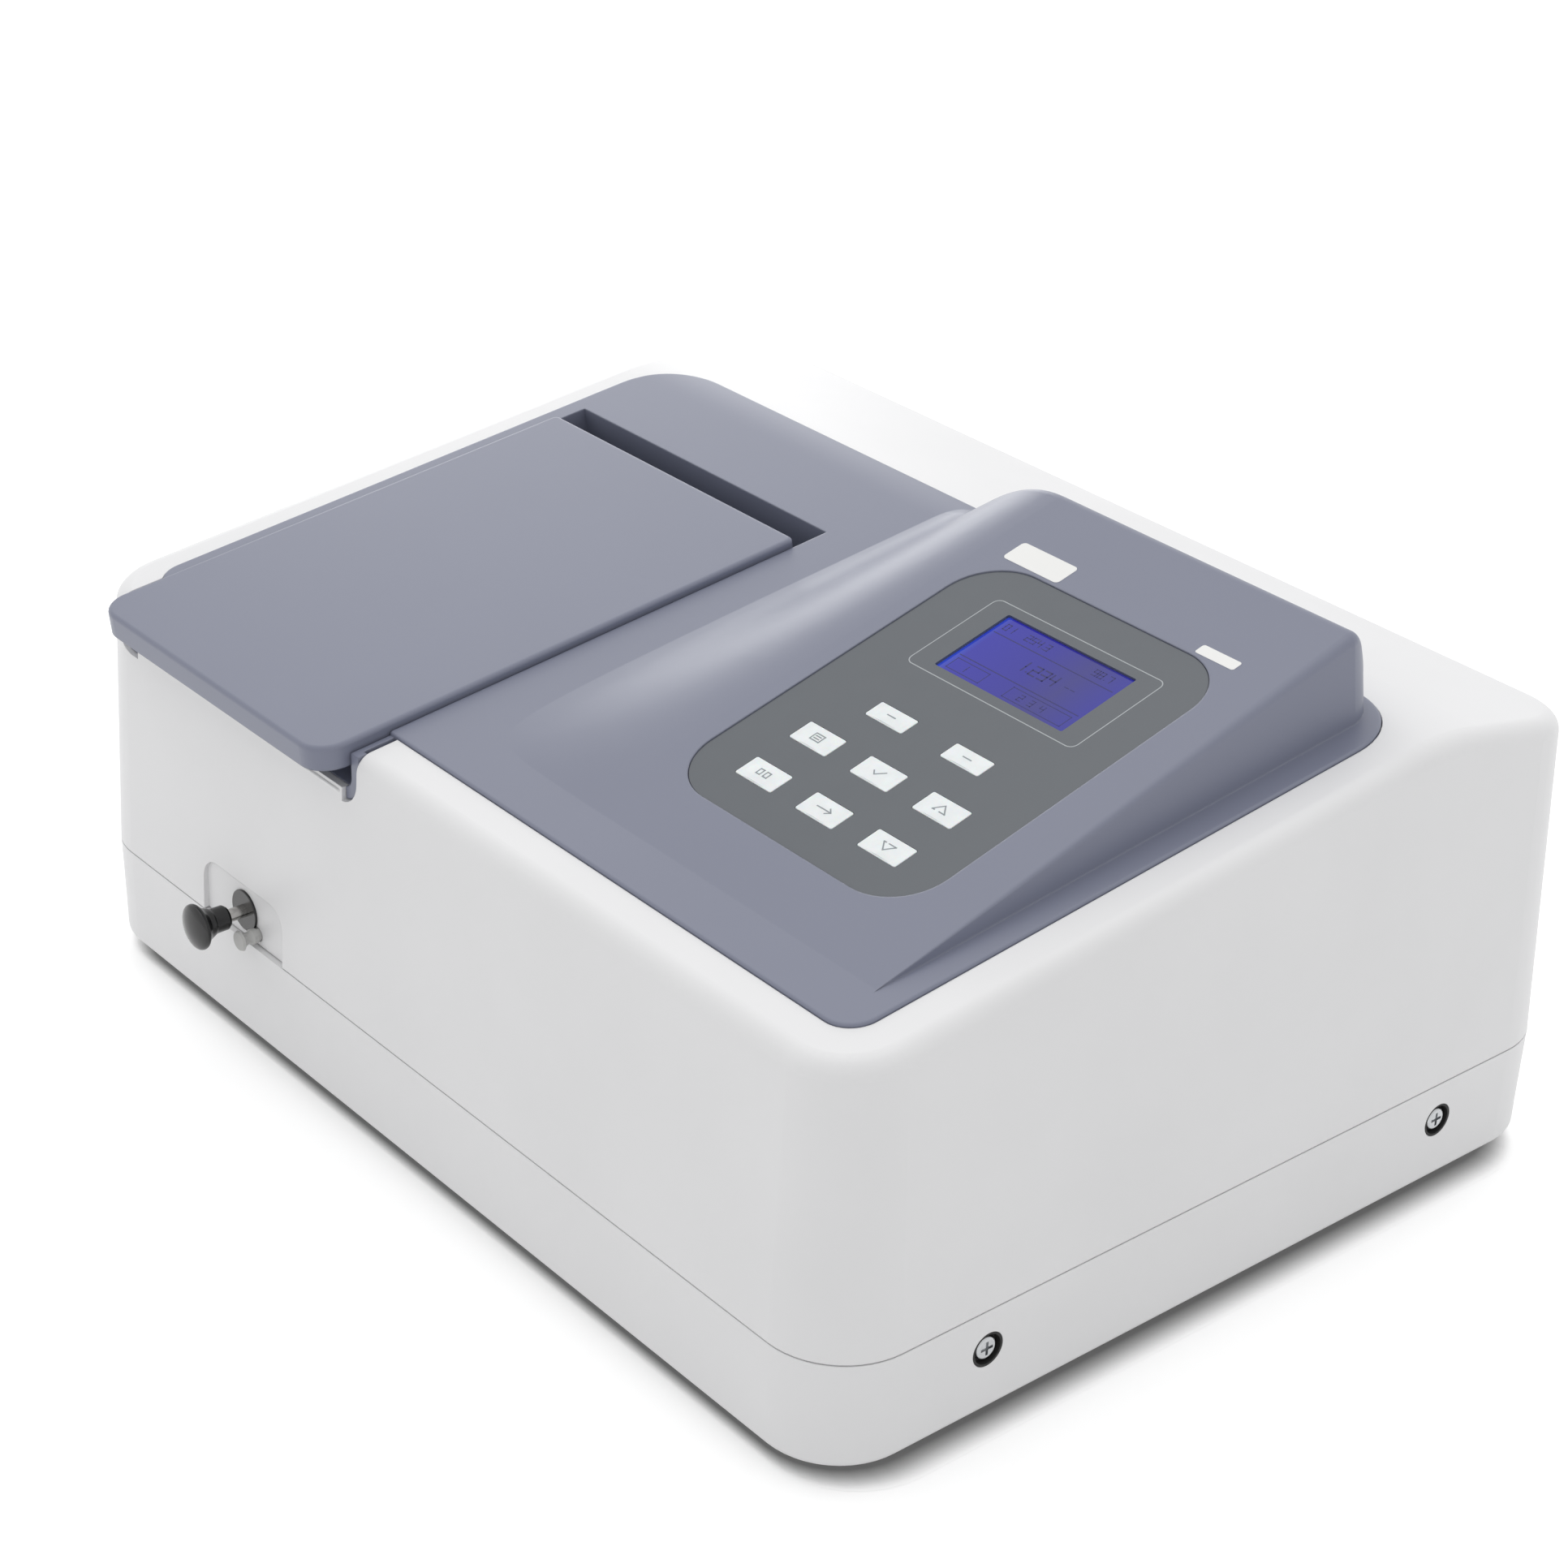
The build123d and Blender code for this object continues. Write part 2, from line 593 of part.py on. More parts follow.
def crest_points():
    """Points (y, z) along the pod's back: the rounding, then the leaning wall down to its foot."""
    lean = 90 - POD_BACK_LEAN
    tangent = POD_REAR_R * tan(radians((POD_SLOPE + lean) / 2))
    start_y = POD_REAR_Y - tangent * cos(radians(POD_SLOPE))
    mid_y = start_y + POD_REAR_R * sin(radians(POD_SLOPE))
    mid_z = pod_z(start_y) - POD_REAR_R * cos(radians(POD_SLOPE))
    rounding = []
    for step in range(8):
        turn = radians(POD_SLOPE - (POD_SLOPE + lean) * step / 7)
        rounding.append((mid_y - POD_REAR_R * sin(turn), mid_z + POD_REAR_R * cos(turn)))
    last_y, last_z = rounding[-1]
    wall = []
    for step in range(7):
        y = last_y + (POD_FOOT_Y - last_y) * step / 6
        wall.append((y, last_z - (y - last_y) / tan(radians(POD_BACK_LEAN))))
    return rounding, wall


def crest_sections(points):
    sections = []
    for y, z in points:
        foot = skin_z(y) - RAMP_BURY
        sections.append(pod_section(y, (z - foot) / (pod_z(y) - foot), POD_EDGE_R))
    return sections


def pod_form():
    rounding, wall = crest_points()
    start = pod_section(PANEL_FRONT + 12.5, 1, POD_EDGE_R)
    face = loft([start, pod_section(rounding[0][0], 1, POD_EDGE_R)], ruled=True)
    return face + loft(crest_sections(rounding)) + loft(crest_sections(wall))


def key_places():
    places = []
    for row, name in zip(KEY_ROWS, ("front", "middle")):
        for step, side in ((-1, "left"), (0, "centre"), (1, "right")):
            x = OVERLAY_X + KEY_SHIFT + step * KEY_PITCH
            places.append((f"key_{name}_{side}", x, OVERLAY_V + row, KEY_L))
    for side, name in ((-1, "left"), (1, "right")):
        x = OVERLAY_X + SOFT_KEY_SHIFT + side * SOFT_KEY_X
        places.append((f"soft_key_{name}", x, OVERLAY_V + SOFT_KEY_ROW, SOFT_KEY_L))
    return places


def pod_plate(width, length, radius, x, v, w0, w1):
    plate = Pos(x, v, w0) * RectangleRounded(width, length, radius)
    return POD_FACE * extrude(plate, w1 - w0)


def compartment(grow, w0, w1):
    x0 = TUB_X0 + TUB_WALL - grow
    x1 = TUB_X1 - TUB_WALL + grow
    y0 = TUB_FRONT + 1
    y1 = TUB_REAR - 3.5
    return PANEL_FACE * rounded_slab(x0, x1, y0 - grow, y1 + grow, w0, w1, 6 + grow)


def top_panel():
    plate = column(panel_plan(0)) & (under_top(PANEL_PROUD) - under_top(PANEL_PROUD - PANEL_T))
    rim = ShapeList()
    for edge in plate.edges():
        spot = edge.center()
        inside = PANEL_FRONT + 5 < spot.Y < RIDGE_Y - 2 and edge.bounding_box().size.Y < 0.1
        if abs(spot.Z - skin_z(spot.Y)) < 0.1 and not inside:
            rim.append(edge)
    plate = fillet(rim, PANEL_EDGE_R)
    wall_y = TONGUE_H * tan(radians(WALL_DRAFT))
    front = wall_y + WALL + SEAT
    trough = pocket_block(POCKET_WALL) & slab(0, WIDTH, front, DEPTH, 0, 300)
    flange = pocket_block(NOTCH_WALL) & slab(0, WIDTH, wall_y + 1.5, front + 2, 0, 300)
    trough += flange - tongue(SEAT)
    panel = plate + (trough & under_top(-0.4)) + pod_form()
    panel -= pocket_block(0)
    rim = compartment(COAMING_T, -POCKET_DEPTH - 1, -COAMING_DROP)
    panel += rim
    panel -= compartment(0, -POCKET_DEPTH - 2 * POCKET_WALL, FAR / 2)
    hollow = column(rounded_plan(RAMP_X1 - 6, POD_RIGHT_X - 9, 64, POD_REAR_Y - 13.5, 4, 4))
    hollow &= pod_plate(2 * WIDTH, 3 * DEPTH, 1, 0, 0, -DEPTH, -POD_SKIN)
    panel -= hollow & slab(0, WIDTH, 0, DEPTH, SEAM_Z + BASE_H, 300)
    sink = OVERLAY_SINK + OVERLAY_T
    panel -= pod_plate(OVERLAY_W + 2 * SEAT, OVERLAY_L + 2 * SEAT, OVERLAY_R + SEAT,
                       OVERLAY_X, OVERLAY_V, -sink - SEAT / 3, FAR)
    for name, x, v, length in key_places():
        panel -= pod_plate(KEY_W + 1, length + 1, KEY_R, x, v, -sink - 1.2, 0)
        panel -= POD_FACE * rod_z(x, v, -2 * POD_SKIN, 0, STEM_R + 0.4)
    window_depth = OVERLAY_SINK + DISPLAY_SINK + DISPLAY_GLASS_T + SEAT / 3
    panel -= pod_plate(DISPLAY_W + 1, DISPLAY_L + 1, 0.8, DISPLAY_X, DISPLAY_V, -window_depth, 0)
    panel -= pod_plate(DISPLAY_W - 2, DISPLAY_L - 2, 0.8, DISPLAY_X, DISPLAY_V, -2 * POD_SKIN, 0)
    return panel


def keypad_overlay():
    film = pod_plate(OVERLAY_W, OVERLAY_L, OVERLAY_R, OVERLAY_X, OVERLAY_V,
                     -OVERLAY_SINK - OVERLAY_T, -OVERLAY_SINK)
    for name, x, v, length in key_places():
        film -= pod_plate(KEY_W + 2 * KEY_GAP, length + 2 * KEY_GAP, KEY_R + KEY_GAP, x, v, -FAR, FAR)
    film -= pod_plate(DISPLAY_W + 2 * KEY_GAP, DISPLAY_L + 2 * KEY_GAP, 0.8, DISPLAY_X, DISPLAY_V,
                      -FAR, FAR)
    return film


def key(x, v, length):
    """A key cap with a shallow dome, cut off at the key's long sides, and the stem for its switch."""
    face = -OVERLAY_SINK + KEY_PROUD
    cap = Pos(x, v, face - KEY_T) * RectangleRounded(KEY_W, length, KEY_R)
    cap = extrude(cap, KEY_T)
    cap = fillet(cap.faces().sort_by(Axis.Z)[-1].edges(), 0.3)
    ball_r = (DOME_R ** 2 + DOME_H ** 2) / (2 * DOME_H)
    ball = Pos(x, v, face + DOME_H - ball_r) * Sphere(ball_r)
    reach = length / 2 - 0.5
    cap += ball & slab(x - DOME_R, x + DOME_R, v - reach, v + reach, face - KEY_T / 2, face + DOME_H)
    cap += rod_z(x, v, -POD_SKIN - 0.6, face - KEY_T, STEM_R)
    return POD_FACE * cap


def key_board():
    top = -POD_SKIN - BOARD_DROP
    board = pod_plate(BOARD_W, BOARD_L, 2, OVERLAY_X, OVERLAY_V + BOARD_ROW, top - BOARD_T, top)
    for name, x, v, length in key_places():
        button = rod_z(x, v, top, -POD_SKIN - 1.3, 1.8)
        board += POD_FACE * (slab(x - 3, x + 3, v - 3, v + 3, top, top + 1) + button)
    plug_v = OVERLAY_V + BOARD_ROW + BOARD_L / 2 - 8.5
    board += POD_FACE * slab(OVERLAY_X - 14, OVERLAY_X + 14, plug_v - 3.5, plug_v + 3.5,
                             top - BOARD_T - 5, top - BOARD_T)
    return board


def display_window():
    face = -OVERLAY_SINK - DISPLAY_SINK
    return pod_plate(DISPLAY_W, DISPLAY_L, 0.7, DISPLAY_X, DISPLAY_V, face - DISPLAY_GLASS_T, face)


def display_module():
    top = -POD_SKIN - SEAT
    width = DISPLAY_W + 2 * MODULE_MARGIN
    length = DISPLAY_L + 2 * MODULE_MARGIN
    module = pod_plate(width, length, 1, DISPLAY_X, DISPLAY_V, top - MODULE_T, top - MODULE_T + BOARD_T)
    module += pod_plate(width - 6, length - 12, 2, DISPLAY_X, DISPLAY_V, top - MODULE_T, top)
    module -= pod_plate(DISPLAY_W + 2, DISPLAY_L + 2, 0.8, DISPLAY_X, DISPLAY_V, top - 0.8, top)
    for side in (-1, 1):
        for end in (-1, 1):
            x = OVERLAY_X + 2 + side * (width / 2 - 3)
            v = DISPLAY_V + end * (length / 2 - 3)
            module -= POD_FACE * rod_z(x, v, -FAR, FAR, 1.5)
    return module


# Sample compartment lid

def lid_plan(inset, low, high):
    plan = rounded_plan(POCKET_X0 + LID_GAP + inset, POCKET_X1 - LID_GAP - inset,
                        LID_FRONT + inset, LID_REAR - inset,
                        LID_CORNER_R - inset, max(LID_REAR_R - inset, 1))
    return Pos(0, 0, low) * extrude(plan, high - low)


def ear_xs():
    left = POCKET_X0 + HINGE_INSET + HINGE_EAR_W / 2
    return (left, POCKET_X0 + POCKET_X1 - left)


def compartment_lid():
    cover = lid_plan(0, LID_PROUD - LID_LIP, LID_PROUD)
    cover = fillet(cover.faces().sort_by(Axis.Z)[-1].edges(), LID_EDGE_R)
    cover -= lid_plan(LID_T, -FAR, LID_PROUD - LID_T)
    cover -= slab(0, WIDTH, WELL_FRONT, DEPTH, -FAR, LID_PROUD - LID_REAR_SKIRT)
    for x in ear_xs():
        x0 = x - HINGE_EAR_W / 2
        x1 = x + HINGE_EAR_W / 2
        web = slab(x0, x1, HINGE_V - HINGE_EYE_R, HINGE_V + HINGE_EYE_R, -HINGE_DROP, 1)
        ear = web + rod_x(x0, x1, HINGE_V, -HINGE_DROP, HINGE_EYE_R)
        cover += ear - rod_x(x0 - 1, x1 + 1, HINGE_V, -HINGE_DROP, HINGE_PIN_R + RUN_FIT)
    return PANEL_FACE * cover


def lid_seal():
    top = LID_PROUD - LID_T - SEAT
    ring = compartment(COAMING_T + 0.8, top - SEAL_T, top)
    return ring - compartment(-0.8, top - SEAL_T - 1, top + 1)


def hinge_brackets():
    brackets = ShapeList()
    foot = -WELL_DEPTH + SEAT
    for x in ear_xs():
        base = slab(x - 12, x + 12, HINGE_V - 8, HINGE_V + 8, foot, foot + 2.5)
        for side in (-1, 1):
            at = x + side * (HINGE_EAR_W / 2 + SEAT + CHEEK_T / 2)
            x0 = at - CHEEK_T / 2
            x1 = at + CHEEK_T / 2
            cheek = slab(x0, x1, HINGE_V - 6, HINGE_V + 2.6, foot, -HINGE_DROP)
            base += cheek + rod_x(x0, x1, HINGE_V, -HINGE_DROP, 4.2)
        base -= rod_x(x - FAR / 3, x + FAR / 3, HINGE_V, -HINGE_DROP, HINGE_PIN_R + RUN_FIT)
        brackets.append(PANEL_FACE * base)
    return Compound(children=brackets)


def hinge_pins():
    pins = ShapeList()
    reach = HINGE_EAR_W / 2 + SEAT + CHEEK_T + 0.8
    for x in ear_xs():
        pin = rod_x(x - reach, x + reach, HINGE_V, -HINGE_DROP, HINGE_PIN_R)
        pin += rod_x(x - reach - 1.2, x - reach, HINGE_V, -HINGE_DROP, HINGE_PIN_R + 1.2)
        pins.append(PANEL_FACE * pin)
    return Compound(children=pins)


# Pull rod, knob, escutcheon and drain

def pull_knob():
    """Mushroom knob turned about the rod's axis, with a neck that flares into the head."""
    face = -KNOB_FRONT
    end = face + KNOB_LENGTH
    bore = ROD_R + SEAT
    rim = (KNOB_R, face + 3.3)
    half = Spline((0, face), (KNOB_R * 0.5, face + 0.5), (KNOB_R * 0.86, face + 1.6), rim,
                  tangents=((1, 0), (0, 1)))
    half += Spline(rim, (KNOB_R - 0.7, face + 4.6), (KNOB_COLLAR_R + 2.1, face + 5.8),
                   (KNOB_COLLAR_R + 0.7, face + 8.6), (KNOB_COLLAR_R, end - 1), tangents=((0, 1), (0, 1)))
    half += Polyline((KNOB_COLLAR_R, end - 1), (KNOB_COLLAR_R - 0.7, end), (bore, end), (bore, face + 6),
                     (0, face + 6), (0, face))
    return Pos(ROD_X, 0, ROD_Z) * revolve(make_face(half), Axis.Y)


def pull_rod():
    tip = -KNOB_FRONT + 6 + SEAT
    groove = CARRIAGE_Y0 - 5
    rod = rod_y(ROD_X, tip, groove, ROD_Z, ROD_R)
    rod += rod_y(ROD_X, groove, groove + 1, ROD_Z, ROD_R - 0.5)
    return rod + rod_y(ROD_X, groove + 1, CARRIAGE_Y0 + 4 - SEAT, ROD_Z, ROD_R)


def rod_escutcheon():
    face = RECESS_D
    disc = rod_y(ROD_X, face - ESCUTCHEON_T, face - 0.02, ROD_Z, ESCUTCHEON_R)
    disc = fillet(disc.edges().sort_by(Axis.Y)[0], 0.3)
    disc += rod_y(ROD_X, face - 0.4, face + RECESS_WALL + 6, ROD_Z, BUSH_R)
    disc -= rod_y(ROD_X, face - 3, face + FAR, ROD_Z, ROD_R + RUN_FIT)
    return disc


def drain_spout():
    z = SEAM_Z + DRAIN_UP
    spout = rod_y(DRAIN_X, DRAIN_Y0, TUB_FRONT + TUB_WALL, z, DRAIN_R)
    spout += rod_y(DRAIN_X, TUB_FRONT - 3, TUB_FRONT - SEAT, z, DRAIN_R + 1.2)
    return spout - rod_y(DRAIN_X, -5, FAR, z, DRAIN_BORE_R)


def drain_plug():
    """Stopper turned about its axis: a collar, a waist and a flared head."""
    seat = DRAIN_Y0 - SEAT / 3
    head = seat - PLUG_LENGTH
    stem = DRAIN_BORE_R - RUN_FIT
    half = Polyline((0, seat + 6), (stem, seat + 6), (stem, seat), (PLUG_R, seat), (PLUG_R, seat - 1.8))
    half += Spline((PLUG_R, seat - 1.8), (PLUG_R - 0.6, seat - 2.8), (PLUG_FLARE_R, head + 0.9))
    half += Polyline((PLUG_FLARE_R, head + 0.9), (PLUG_FLARE_R - 0.4, head), (0, head), (0, seat + 6))
    return Pos(DRAIN_X, 0, SEAM_Z + DRAIN_UP) * revolve(make_face(half), Axis.Y)


# Sample compartment and cell carriage

def sample_tub():
    top = -POCKET_DEPTH - POCKET_WALL - SEAT
    outer = rounded_slab(TUB_X0, TUB_X1, TUB_FRONT, TUB_REAR, TUB_BASE_Z, 300, 8)
    below = PANEL_FACE * slab(-FAR, WIDTH, -FAR, DEPTH, -300, top)
    tub = outer & below
    flange = rounded_slab(TUB_X0 - TUB_FLANGE, TUB_X1 + TUB_FLANGE, TUB_FRONT - TUB_FLANGE,
                          TUB_REAR + TUB_FLANGE, TUB_BASE_Z, 300, 8 + TUB_FLANGE)
    tub += flange & (PANEL_FACE * slab(-FAR, WIDTH, -FAR, DEPTH, top - TUB_FLANGE_T, top))
    tub -= rounded_slab(TUB_X0 + TUB_WALL, TUB_X1 - TUB_WALL, TUB_FRONT + TUB_WALL,
                        TUB_REAR - TUB_WALL, TUB_BASE_Z + TUB_WALL, 300, 8 - TUB_WALL)
    tub -= rod_y(ROD_X, TUB_FRONT - 1, TUB_FRONT + TUB_WALL + 1, ROD_Z, ROD_R + SEAT)
    tub -= rod_y(DRAIN_X, TUB_FRONT - 1, TUB_FRONT + TUB_WALL + 1, SEAM_Z + DRAIN_UP, DRAIN_R + SEAT)
    tub -= rod_x(TUB_X0 - 1, TUB_X1 + 1, BEAM_Y, BEAM_Z, BEAM_R)
    return tub


def rail_xs():
    return (ROD_X - RAIL_SPACING / 2, ROD_X + RAIL_SPACING / 2)


def guide_rails():
    rail_z = SLED_Z + SLED_T / 2
    y0 = TUB_FRONT + TUB_WALL + SEAT
    y1 = TUB_REAR - TUB_WALL - SEAT
    rails = ShapeList()
    for x in rail_xs():
        rail = rod_y(x, y0, y1, rail_z, RAIL_R)
        for y in (y0, y1 - RAIL_BLOCK_L):
            rail += slab(x - 6, x + 6, y, y + RAIL_BLOCK_L, TUB_BASE_Z + TUB_WALL + SEAT, rail_z + 5)
        rails.append(rail)
    return Compound(children=rails)


def cell_ys():
    first = CARRIAGE_Y0 + CELL_END + CELL / 2
    return [first + step * CELL_PITCH for step in range(CELL_COUNT)]


def cell_carriage():
    sled = slab(ROD_X - SLED_W / 2, ROD_X + SLED_W / 2, CARRIAGE_Y0, CARRIAGE_Y1, SLED_Z, SLED_Z + SLED_T)
    sled = fillet(sled.edges().filter_by(Axis.Z), 3)
    for x in rail_xs():
        sled -= rod_y(x, 0, DEPTH, SLED_Z + SLED_T / 2, RAIL_R + 2 * RUN_FIT)
    block = slab(ROD_X - CARRIAGE_W / 2, ROD_X + CARRIAGE_W / 2, CARRIAGE_Y0, CARRIAGE_Y1,
                 SLED_Z + SLED_T, CARRIAGE_TOP)
    block = fillet(block.edges().filter_by(Axis.Z), 1.5)
    carriage = sled + block
    carriage -= rod_y(ROD_X, CARRIAGE_Y0 - 1, CARRIAGE_Y0 + 4, ROD_Z, ROD_R + RUN_FIT)
    for y in cell_ys():
        half = CELL / 2
        carriage -= slab(ROD_X - half, ROD_X + half, y - half, y + half, CELL_FLOOR_Z, CARRIAGE_TOP + 1)
        carriage -= slab(ROD_X - SPRING_W / 2 - 1, ROD_X + SPRING_W / 2 + 1, y, y + half + SPRING_POCKET,
                         CARRIAGE_TOP - SPRING_H - 4, CARRIAGE_TOP + 1)
        carriage -= rod_x(ROD_X - FAR, ROD_X + FAR, y, BEAM_Z, BEAM_R)
        edge_x = ROD_X + SLED_W / 2
        carriage -= rod_z(edge_x, y, SLED_Z - 1, SLED_Z + SLED_T + 1, NOTCH_R)
    return carriage


def cell_springs():
    springs = ShapeList()
    back = CELL / 2 + SPRING_POCKET - SEAT
    z0 = CARRIAGE_TOP - SPRING_H - 2
    for y in cell_ys():
        bow = Spline((y + back, z0), (y + CELL / 2 - 0.6, z0 + SPRING_H * 0.45), (y + back, z0 + SPRING_H))
        leaf = make_face(Plane.YZ * trace(bow, SPRING_T))
        leaf = extrude(leaf, SPRING_W / 2, both=True)
        springs.append(Pos(ROD_X, 0, 0) * leaf)
    return Compound(children=springs)


def detent_spring():
    """Leaf on the tub's floor whose nose is drawn lifted just clear of the sled."""
    edge = ROD_X + SLED_W / 2 + SEAT
    floor = TUB_BASE_Z + TUB_WALL + SEAT
    foot = slab(edge + 4, edge + 14, BEAM_Y - 20, BEAM_Y - 6, floor, floor + 2)
    leaf = slab(edge + 4, edge + 5, BEAM_Y - 20, BEAM_Y + 4, floor, SLED_Z + SLED_T - 1)
    nose = slab(edge + 1.4, edge + 4.5, BEAM_Y - 1.2, BEAM_Y + 1.2, SLED_Z + 1, SLED_Z + SLED_T - 1)
    nose += rod_z(edge + 1.4, BEAM_Y, SLED_Z + 1, SLED_Z + SLED_T - 1, 1.2)
    screw = rod_z(edge + 10, BEAM_Y - 13, floor + 1, floor + 4, 3)
    return foot + leaf + nose + screw


# Optical bench, lamp and filter wheel

def bench_posts():
    front = 90
    rear = DEPTH - 84
    return [(50, front), (50, rear), (MID_X, 45), (MID_X, DEPTH - 32), (WIDTH - 50, front),
            (WIDTH - 50, rear)]


def optical_bench():
    plate = rounded_slab(BENCH_EDGE, WIDTH - BENCH_EDGE, BENCH_EDGE, DEPTH - BENCH_EDGE,
                         BENCH_Z, BENCH_TOP, 14)
    span = (MONO_X0 - 62 - BENCH_RIB) / 2
    for x in (60, 60 + span + BENCH_RIB):
        plate -= rounded_slab(x, x + span, 60, BEAM_Y - 25, BENCH_Z - 1, BENCH_TOP + 1, 6)
    for x, y in bench_posts():
        plate += rod_z(x, y, FOOT_H + FLOOR + SEAT, BENCH_Z, POST_R)
    return plate


def lamp_house():
    box = slab(LAMP_X0, LAMP_X1, LAMP_Y0, LAMP_Y1, STAND_Z, STAND_Z + LAMP_H)
    box = fillet(box.edges().filter_by(Axis.Z), 3)
    room = slab(LAMP_X0 + LAMP_WALL, LAMP_X1 - LAMP_WALL, LAMP_Y0 + LAMP_WALL, LAMP_Y1 - LAMP_WALL,
                STAND_Z + LAMP_WALL, STAND_Z + LAMP_H - LAMP_WALL)
    box -= room
    for step in range(7):
        x = LAMP_X0 + 12 + step * 10
        box -= slab(x - 2, x + 2, LAMP_Y0 + 10, LAMP_Y1 - 10, STAND_Z + LAMP_H / 2, STAND_Z + LAMP_H + 5)
    box -= rod_x(LAMP_X1 - FAR / 4, LAMP_X1 + 5, ENTRANCE_Y, BEAM_Z, 8)
    return box


def halogen_lamp():
    bulb = rod_z(LAMP_X, ENTRANCE_Y, BEAM_Z - 8, BEAM_Z + 8, BULB_R)
    bulb = fillet(bulb.edges().sort_by(Axis.Z)[-1], BULB_R - 0.5)
    bulb += slab(LAMP_X - 6, LAMP_X + 6, ENTRANCE_Y - 2, ENTRANCE_Y + 2, BEAM_Z - 21, BEAM_Z - 7)
    for side in (-1, 1):
        bulb += rod_z(LAMP_X + side * 3.2, ENTRANCE_Y, BEAM_Z - 27, BEAM_Z - 20, 0.6)
    return bulb


def dish(radius, thick, hollow_r):
    """A round mirror lying in the z plane with a hollow upper face."""
    blank = Cylinder(radius, thick, align=(Align.CENTER, Align.CENTER, Align.MAX))
    depth = hollow_r - (hollow_r ** 2 - radius ** 2) ** 0.5
    return blank - Pos(0, 0, hollow_r - depth) * Sphere(hollow_r)


def lamp_mount():
    """Lamp socket and the mirror behind it on one foot."""
    at = LAMP_X - 24
    base = STAND_Z + LAMP_WALL + SEAT
    mount = Pos(at, ENTRANCE_Y, BEAM_Z) * Rot(0, 90, 0) * dish(15, 6, 40)
    mount += slab(at - 6, at - 3, ENTRANCE_Y - 5, ENTRANCE_Y + 5, base, BEAM_Z - 10)
    mount += slab(at - 8, LAMP_X + 10, ENTRANCE_Y - 8, ENTRANCE_Y + 8, base, base + 4)
    mount += slab(LAMP_X - 7, LAMP_X + 7, ENTRANCE_Y - 5, ENTRANCE_Y + 5, base, BEAM_Z - 22)
    for side in (-1, 1):
        mount -= rod_z(LAMP_X + side * 3.2, ENTRANCE_Y, BEAM_Z - 28, BEAM_Z, 0.9)
    return mount


def filter_wheel():
    y = ENTRANCE_Y - FILTER_RING_R
    wheel = rod_x(WHEEL_X - WHEEL_T / 2, WHEEL_X + WHEEL_T / 2, y, BEAM_Z, WHEEL_R)
    for step in range(6):
        turn = radians(60 * step)
        wheel -= rod_x(WHEEL_X - 5, WHEEL_X + 5, y + FILTER_RING_R * cos(turn),
                       BEAM_Z + FILTER_RING_R * sin(turn), FILTER_R)
    for step in range(1, 6):
        turn = radians(60 * step)
        wheel += rod_x(WHEEL_X - 0.8, WHEEL_X + 0.8, y + FILTER_RING_R * cos(turn),
                       BEAM_Z + FILTER_RING_R * sin(turn), FILTER_R + 0.1)
    wheel += rod_x(WHEEL_X - WHEEL_T / 2, WHEEL_X + WHEEL_T / 2 + 2, y, BEAM_Z, 5)
    return wheel - rod_x(WHEEL_X - 1, WHEEL_X + 5, y, BEAM_Z, SHAFT_R / 2 + RUN_FIT)


def filter_motor():
    y = ENTRANCE_Y - FILTER_RING_R
    body = rod_x(MONO_X0 + MONO_WALL + SEAT, MONO_X0 + MONO_WALL + 20, y, BEAM_Z, 10)
    body += rod_x(MONO_X0 + 1, MONO_X0 + MONO_WALL + 1, y, BEAM_Z, 4)
    return body + rod_x(WHEEL_X, MONO_X0 + 3, y, BEAM_Z, SHAFT_R / 2)


def lens_holder():
    tube = rod_x(TUB_X1 + 4, MONO_X0 - 4, BEAM_Y, BEAM_Z, LENS_R + 3)
    foot = slab(TUB_X1 + 6, MONO_X0 - 6, BEAM_Y - 8, BEAM_Y + 8, STAND_Z, BEAM_Z - LENS_R)
    foot += slab(TUB_X1 + 4, MONO_X0 - 4, BEAM_Y - 14, BEAM_Y + 14, STAND_Z, STAND_Z + 4)
    holder = tube + foot
    holder -= rod_x(TUB_X1 + 1, MONO_X0 - 1, BEAM_Y, BEAM_Z, LENS_R - 1.5)
    return holder - rod_x(LENS_X - 3, LENS_X + 3, BEAM_Y, BEAM_Z, LENS_R + RUN_FIT)


def beam_lens():
    """Lens with two bulging faces, turned about the beam."""
    edge = 1.0
    bulge = 1.7
    ball = (LENS_R ** 2 + bulge ** 2) / (2 * bulge)
    half_way = edge + bulge - ball + (ball ** 2 - LENS_R ** 2 / 4) ** 0.5
    half = Line((-edge, LENS_R), (edge, LENS_R))
    half += ThreePointArc((edge, LENS_R), (half_way, LENS_R / 2), (edge + bulge, 0))
    half += Line((edge + bulge, 0), (-edge - bulge, 0))
    half += ThreePointArc((-edge - bulge, 0), (-half_way, LENS_R / 2), (-edge, LENS_R))
    return Pos(LENS_X, BEAM_Y, BEAM_Z) * revolve(make_face(half), Axis.X)


# Monochromator

